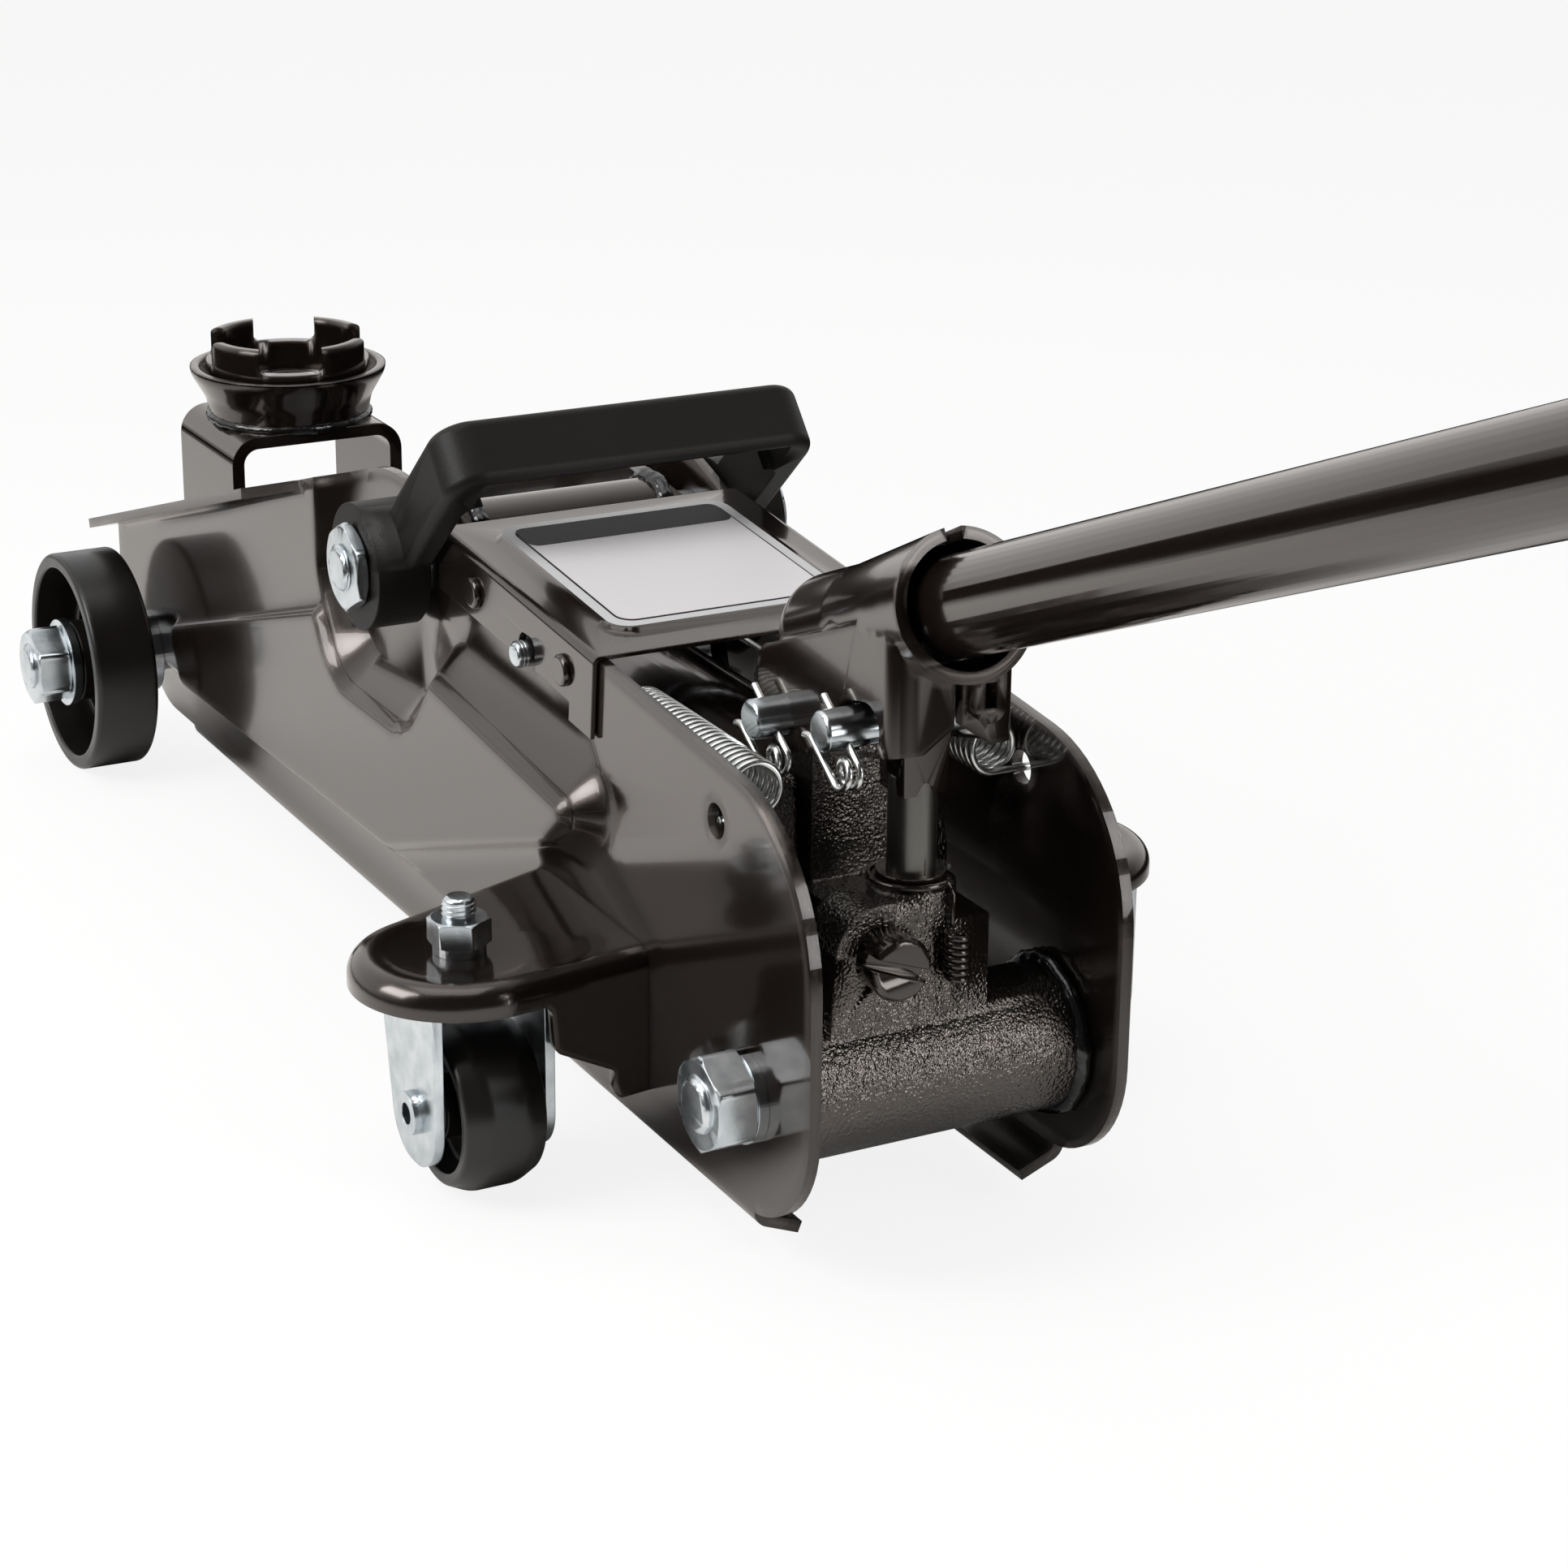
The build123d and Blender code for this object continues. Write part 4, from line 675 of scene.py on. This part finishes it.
def labelSheet(name, spec, material):
    clearPick()
    bpy.ops.mesh.primitive_plane_add(size=1.0)
    sheet = bpy.context.object
    sheet.scale = (spec["front"] - spec["rear"], 2 * spec["half"], 1.0)
    bpy.ops.object.transform_apply(location=True, rotation=True, scale=True)
    editAll(sheet)
    bpy.ops.mesh.bevel(offset=spec["corner"], segments=label["cornerSegments"], affect="VERTICES")
    bpy.ops.object.mode_set(mode="OBJECT")
    thick = sheet.modifiers.new("thick", "SOLIDIFY")
    thick.thickness = label["lift"]
    thick.offset = 1.0
    applyAll(sheet)
    sheet.rotation_euler = (0, -label["slope"], 0)
    middle = (spec["front"] + spec["rear"]) / 2
    drop = (label["front"] - middle) * math.sin(label["slope"])
    sheet.location = (middle, 0, coverHigh.z - drop + spec["lift"])
    settle(sheet, name, material, "chassis", label["smooth"])


sheets = (
    ("label_margin", labelMargin, 0),
    ("label_frame_line", labelInk, label["margin"]),
    ("label_field", labelField, label["margin"] + label["line"]),
)
for depth, (sheetName, sheetInk, inset) in enumerate(sheets):
    layer = {
        "front": label["front"] - inset,
        "rear": label["rear"] + inset,
        "half": label["half"] - inset,
        "corner": label["corner"] - label["cornerLoss"] * inset,
        "lift": depth * label["lift"],
    }
    labelSheet(sheetName, layer, sheetInk)
band = {
    "front": layer["front"],
    "rear": layer["front"] - label["band"],
    "half": layer["half"],
    "corner": label["corner"] / 2,
    "lift": len(sheets) * label["lift"],
}
labelSheet("label_band", band, labelInk)
print("label laid")


# wire keeper of the pump, drawn wire under black paint: open ring on the gland, a tail and a small close coil
glandLow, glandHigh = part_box("pump_gland")
keeper = {
    "wire": 0.75 * mm,
    "rise": 1.4 * mm,
    "ring": 10.2 * mm,
    "ringEnd": math.radians(208),
    "sweep": math.radians(300),
    "ringSteps": 40,
    "back": 13.9 * mm,
    "aside": -5.0 * mm,
    "elbow": 2.5 * mm,
    "tail": 11.0 * mm,
    "coil": 2.6 * mm,
    "pitch": 1.75 * mm,
    "turns": 7,
    "steps": 16,
    "smooth": 60.0,
}


def keeperPath():
    centre = (glandLow + glandHigh) / 2
    top = glandLow.z + keeper["rise"]
    points = []
    for k in range(keeper["ringSteps"] + 1):
        turn = keeper["ringEnd"] + keeper["sweep"] * (k / keeper["ringSteps"] - 1)
        ringX = centre.x + keeper["ring"] * math.cos(turn)
        ringY = centre.y + keeper["ring"] * math.sin(turn)
        points.append((ringX, ringY, top))
    axisX = centre.x - keeper["back"]
    axisY = centre.y + keeper["aside"]
    points.append((axisX + keeper["coil"], axisY, top - keeper["elbow"]))
    for k in range(keeper["turns"] * keeper["steps"] + 1):
        turn = math.tau * k / keeper["steps"]
        points.append(
            (
                axisX + keeper["coil"] * math.cos(turn),
                axisY + keeper["coil"] * math.sin(turn),
                top - keeper["tail"] - keeper["pitch"] * k / keeper["steps"],
            )
        )
    return points


def bendWire(name, points):
    clearPick()
    bpy.ops.curve.primitive_nurbs_path_add()
    strand = bpy.context.object
    strand.data.splines.clear()
    line = strand.data.splines.new("POLY")
    line.points.add(len(points) - 1)
    for point, place in zip(line.points, points):
        point.co = (*place, 1.0)
    strand.data.bevel_depth = keeper["wire"]
    strand.data.bevel_resolution = 3
    strand.data.use_fill_caps = True
    bpy.ops.object.convert(target="MESH")
    settle(bpy.context.object, name, enamel, "chassis", keeper["smooth"])


bendWire("pump_keeper_wire", keeperPath())
print("keeper bent")

# pale floor, lifted towards white for the camera, with the jack's shadow kept on it
studio = {"size": 40.0, "colour": "#f4f3f1", "white": "#ffffff", "lifted": 0.86}
clearPick()
bpy.ops.mesh.primitive_plane_add(size=studio["size"], location=(0, 0, 0))
floor = bpy.context.object
floor.name = "floor"
floorMaterial, floorTree, floorShader = startMaterial(
    "palePaintedFloor", {"Base Color": hexColour(studio["colour"]), "Roughness": 0.9, "Specular IOR Level": 0.0}
)[:3]
glow = addNode(floorTree, "ShaderNodeEmission", {"Color": hexColour(studio["white"]), "Strength": 1.0})
rays = addNode(floorTree, "ShaderNodeLightPath")
lifted = addNode(
    floorTree,
    "ShaderNodeMath",
    {"operation": "MULTIPLY", 1: studio["lifted"]},
    {0: rays.outputs["Is Camera Ray"]},
)
floorMix = addNode(
    floorTree,
    "ShaderNodeMixShader",
    {},
    {0: lifted.outputs["Value"], 1: floorShader.outputs["BSDF"], 2: glow.outputs["Emission"]},
)
floorTree.links.new(floorMix.outputs["Shader"], floorTree.nodes["Material Output"].inputs["Surface"])
floor.data.materials.append(floorMaterial)

# dark card over the floor, seen by mirrors only: painted shade in the reflections, dark away from the jack, with a
# soft window beside the jack where the floor shows bright
card = {
    "place": (0.3, 0.05, 0.004),
    "size": 6.0,
    "colour": "#050505",
    "clear": 0.2,
    "dark": 0.36,
    "long": 2.6,
}
clearPick()
bpy.ops.mesh.primitive_plane_add(size=card["size"], location=card["place"])
darkCard = bpy.context.object
darkCard.name = "darkCard"
cardMaterial, cardTree, cardShader, cardPlace = startMaterial(
    "mirrorOnlyPaintedShadeCard", {"Base Color": hexColour(card["colour"]), "Roughness": 1.0, "Specular IOR Level": 0.0}
)
cardSpan = addNode(
    cardTree, "ShaderNodeMapping", {"Scale": (1 / card["long"], 1.0, 1.0)}, {"Vector": cardPlace}
)
cardReach = addNode(
    cardTree, "ShaderNodeVectorMath", {"operation": "LENGTH"}, {0: cardSpan.outputs["Vector"]}
)
cardShade = addNode(
    cardTree,
    "ShaderNodeMapRange",
    {"From Min": card["clear"], "From Max": card["dark"], "interpolation_type": "SMOOTHSTEP"},
    {"Value": cardReach.outputs["Value"]},
)
cardMix = addNode(
    cardTree,
    "ShaderNodeMixShader",
    {},
    {
        0: cardShade.outputs["Result"],
        1: addNode(cardTree, "ShaderNodeBsdfTransparent").outputs["BSDF"],
        2: cardShader.outputs["BSDF"],
    },
)
cardTree.links.new(cardMix.outputs["Shader"], cardTree.nodes["Material Output"].inputs["Surface"])
darkCard.data.materials.append(cardMaterial)
darkCard.visible_camera = False
darkCard.visible_diffuse = False
darkCard.visible_shadow = False

# white for the camera, and for mirrors bright ahead and dark behind, as in a studio with a white sweep
sweep = {"light": 1.0, "dark": 0.06, "from": -0.35, "to": 0.55}
world = bpy.data.worlds.new("whiteSweep")
bpy.context.scene.world = world
world.use_nodes = True
sky = world.node_tree
skyRays = addNode(sky, "ShaderNodeLightPath")
skyWay = addNode(sky, "ShaderNodeTexCoord")
skyParts = addNode(sky, "ShaderNodeSeparateXYZ", {}, {"Vector": skyWay.outputs["Generated"]})
skyShade = addNode(
    sky,
    "ShaderNodeMapRange",
    {"From Min": sweep["from"], "From Max": sweep["to"], "To Min": sweep["dark"], "To Max": sweep["light"]},
    {"Value": skyParts.outputs["X"]},
)
skyLevel = addNode(
    sky,
    "ShaderNodeMath",
    {"operation": "MAXIMUM"},
    {0: skyRays.outputs["Is Camera Ray"], 1: skyShade.outputs["Result"]},
)
sky.nodes["Background"].inputs["Color"].default_value = hexColour(studio["white"])
sky.links.new(skyLevel.outputs["Value"], sky.nodes["Background"].inputs["Strength"])

# soft boxes above, to the left and behind, and a weak one low behind for the cast tube
lamps = {
    "overheadBox": {"place": (0.1, 0.2, 1.5), "aim": (0.0, 0.0, 0.05), "size": 1.0, "power": 5.0},
    "leftWash": {"place": (0.2, 0.8, 0.65), "aim": (0.2, 0.15, 0.0), "size": 0.5, "power": 7.0},
    "rearBox": {"place": (-1.05, -0.75, 0.95), "aim": (-0.05, 0.0, 0.06), "size": 0.6, "power": 7.0},
    "rearKick": {"place": (-0.65, -0.35, 0.12), "aim": (-0.04, 0.0, 0.06), "size": 0.25, "power": 1.1},
}
for lampName, lamp in lamps.items():
    clearPick()
    bpy.ops.object.light_add(type="AREA", location=lamp["place"])
    light = bpy.context.object
    light.name = lampName
    light.data.size = lamp["size"]
    light.data.energy = lamp["power"]
    aim = Vector(lamp["aim"]) - Vector(lamp["place"])
    light.rotation_euler = aim.to_track_quat("-Z", "Y").to_euler()
print("studio lit")

# camera as the photograph was taken, from behind and to the left, placed from the rear bolt
view = {
    "place": Vector((-720.59, 419.61, 419.29)) * mm + Vector((boltX, 0, 0)),
    "yaw": math.radians(28.12),
    "pitch": math.radians(20.14),
    "roll": math.radians(0.59),
    "lens": 86.34,
    "sensor": 36.0,
    "near": 0.05,
}
ahead = Vector(
    (
        math.cos(view["yaw"]) * math.cos(view["pitch"]),
        -math.sin(view["yaw"]) * math.cos(view["pitch"]),
        -math.sin(view["pitch"]),
    )
)
right = ahead.cross(Vector((0, 0, 1))).normalized()
upward = right.cross(ahead)
rolledRight = right * math.cos(view["roll"]) + upward * math.sin(view["roll"])
rolledUp = upward * math.cos(view["roll"]) - right * math.sin(view["roll"])
clearPick()
bpy.ops.object.camera_add(location=view["place"])
camera = bpy.context.object
camera.rotation_euler = Matrix((rolledRight, rolledUp, -ahead)).transposed().to_euler()
camera.data.lens = view["lens"]
camera.data.sensor_width = view["sensor"]
camera.data.clip_start = view["near"]
bpy.context.scene.camera = camera
bpy.context.scene.view_settings.view_transform = "Standard"
print("camera set")

clearPick()
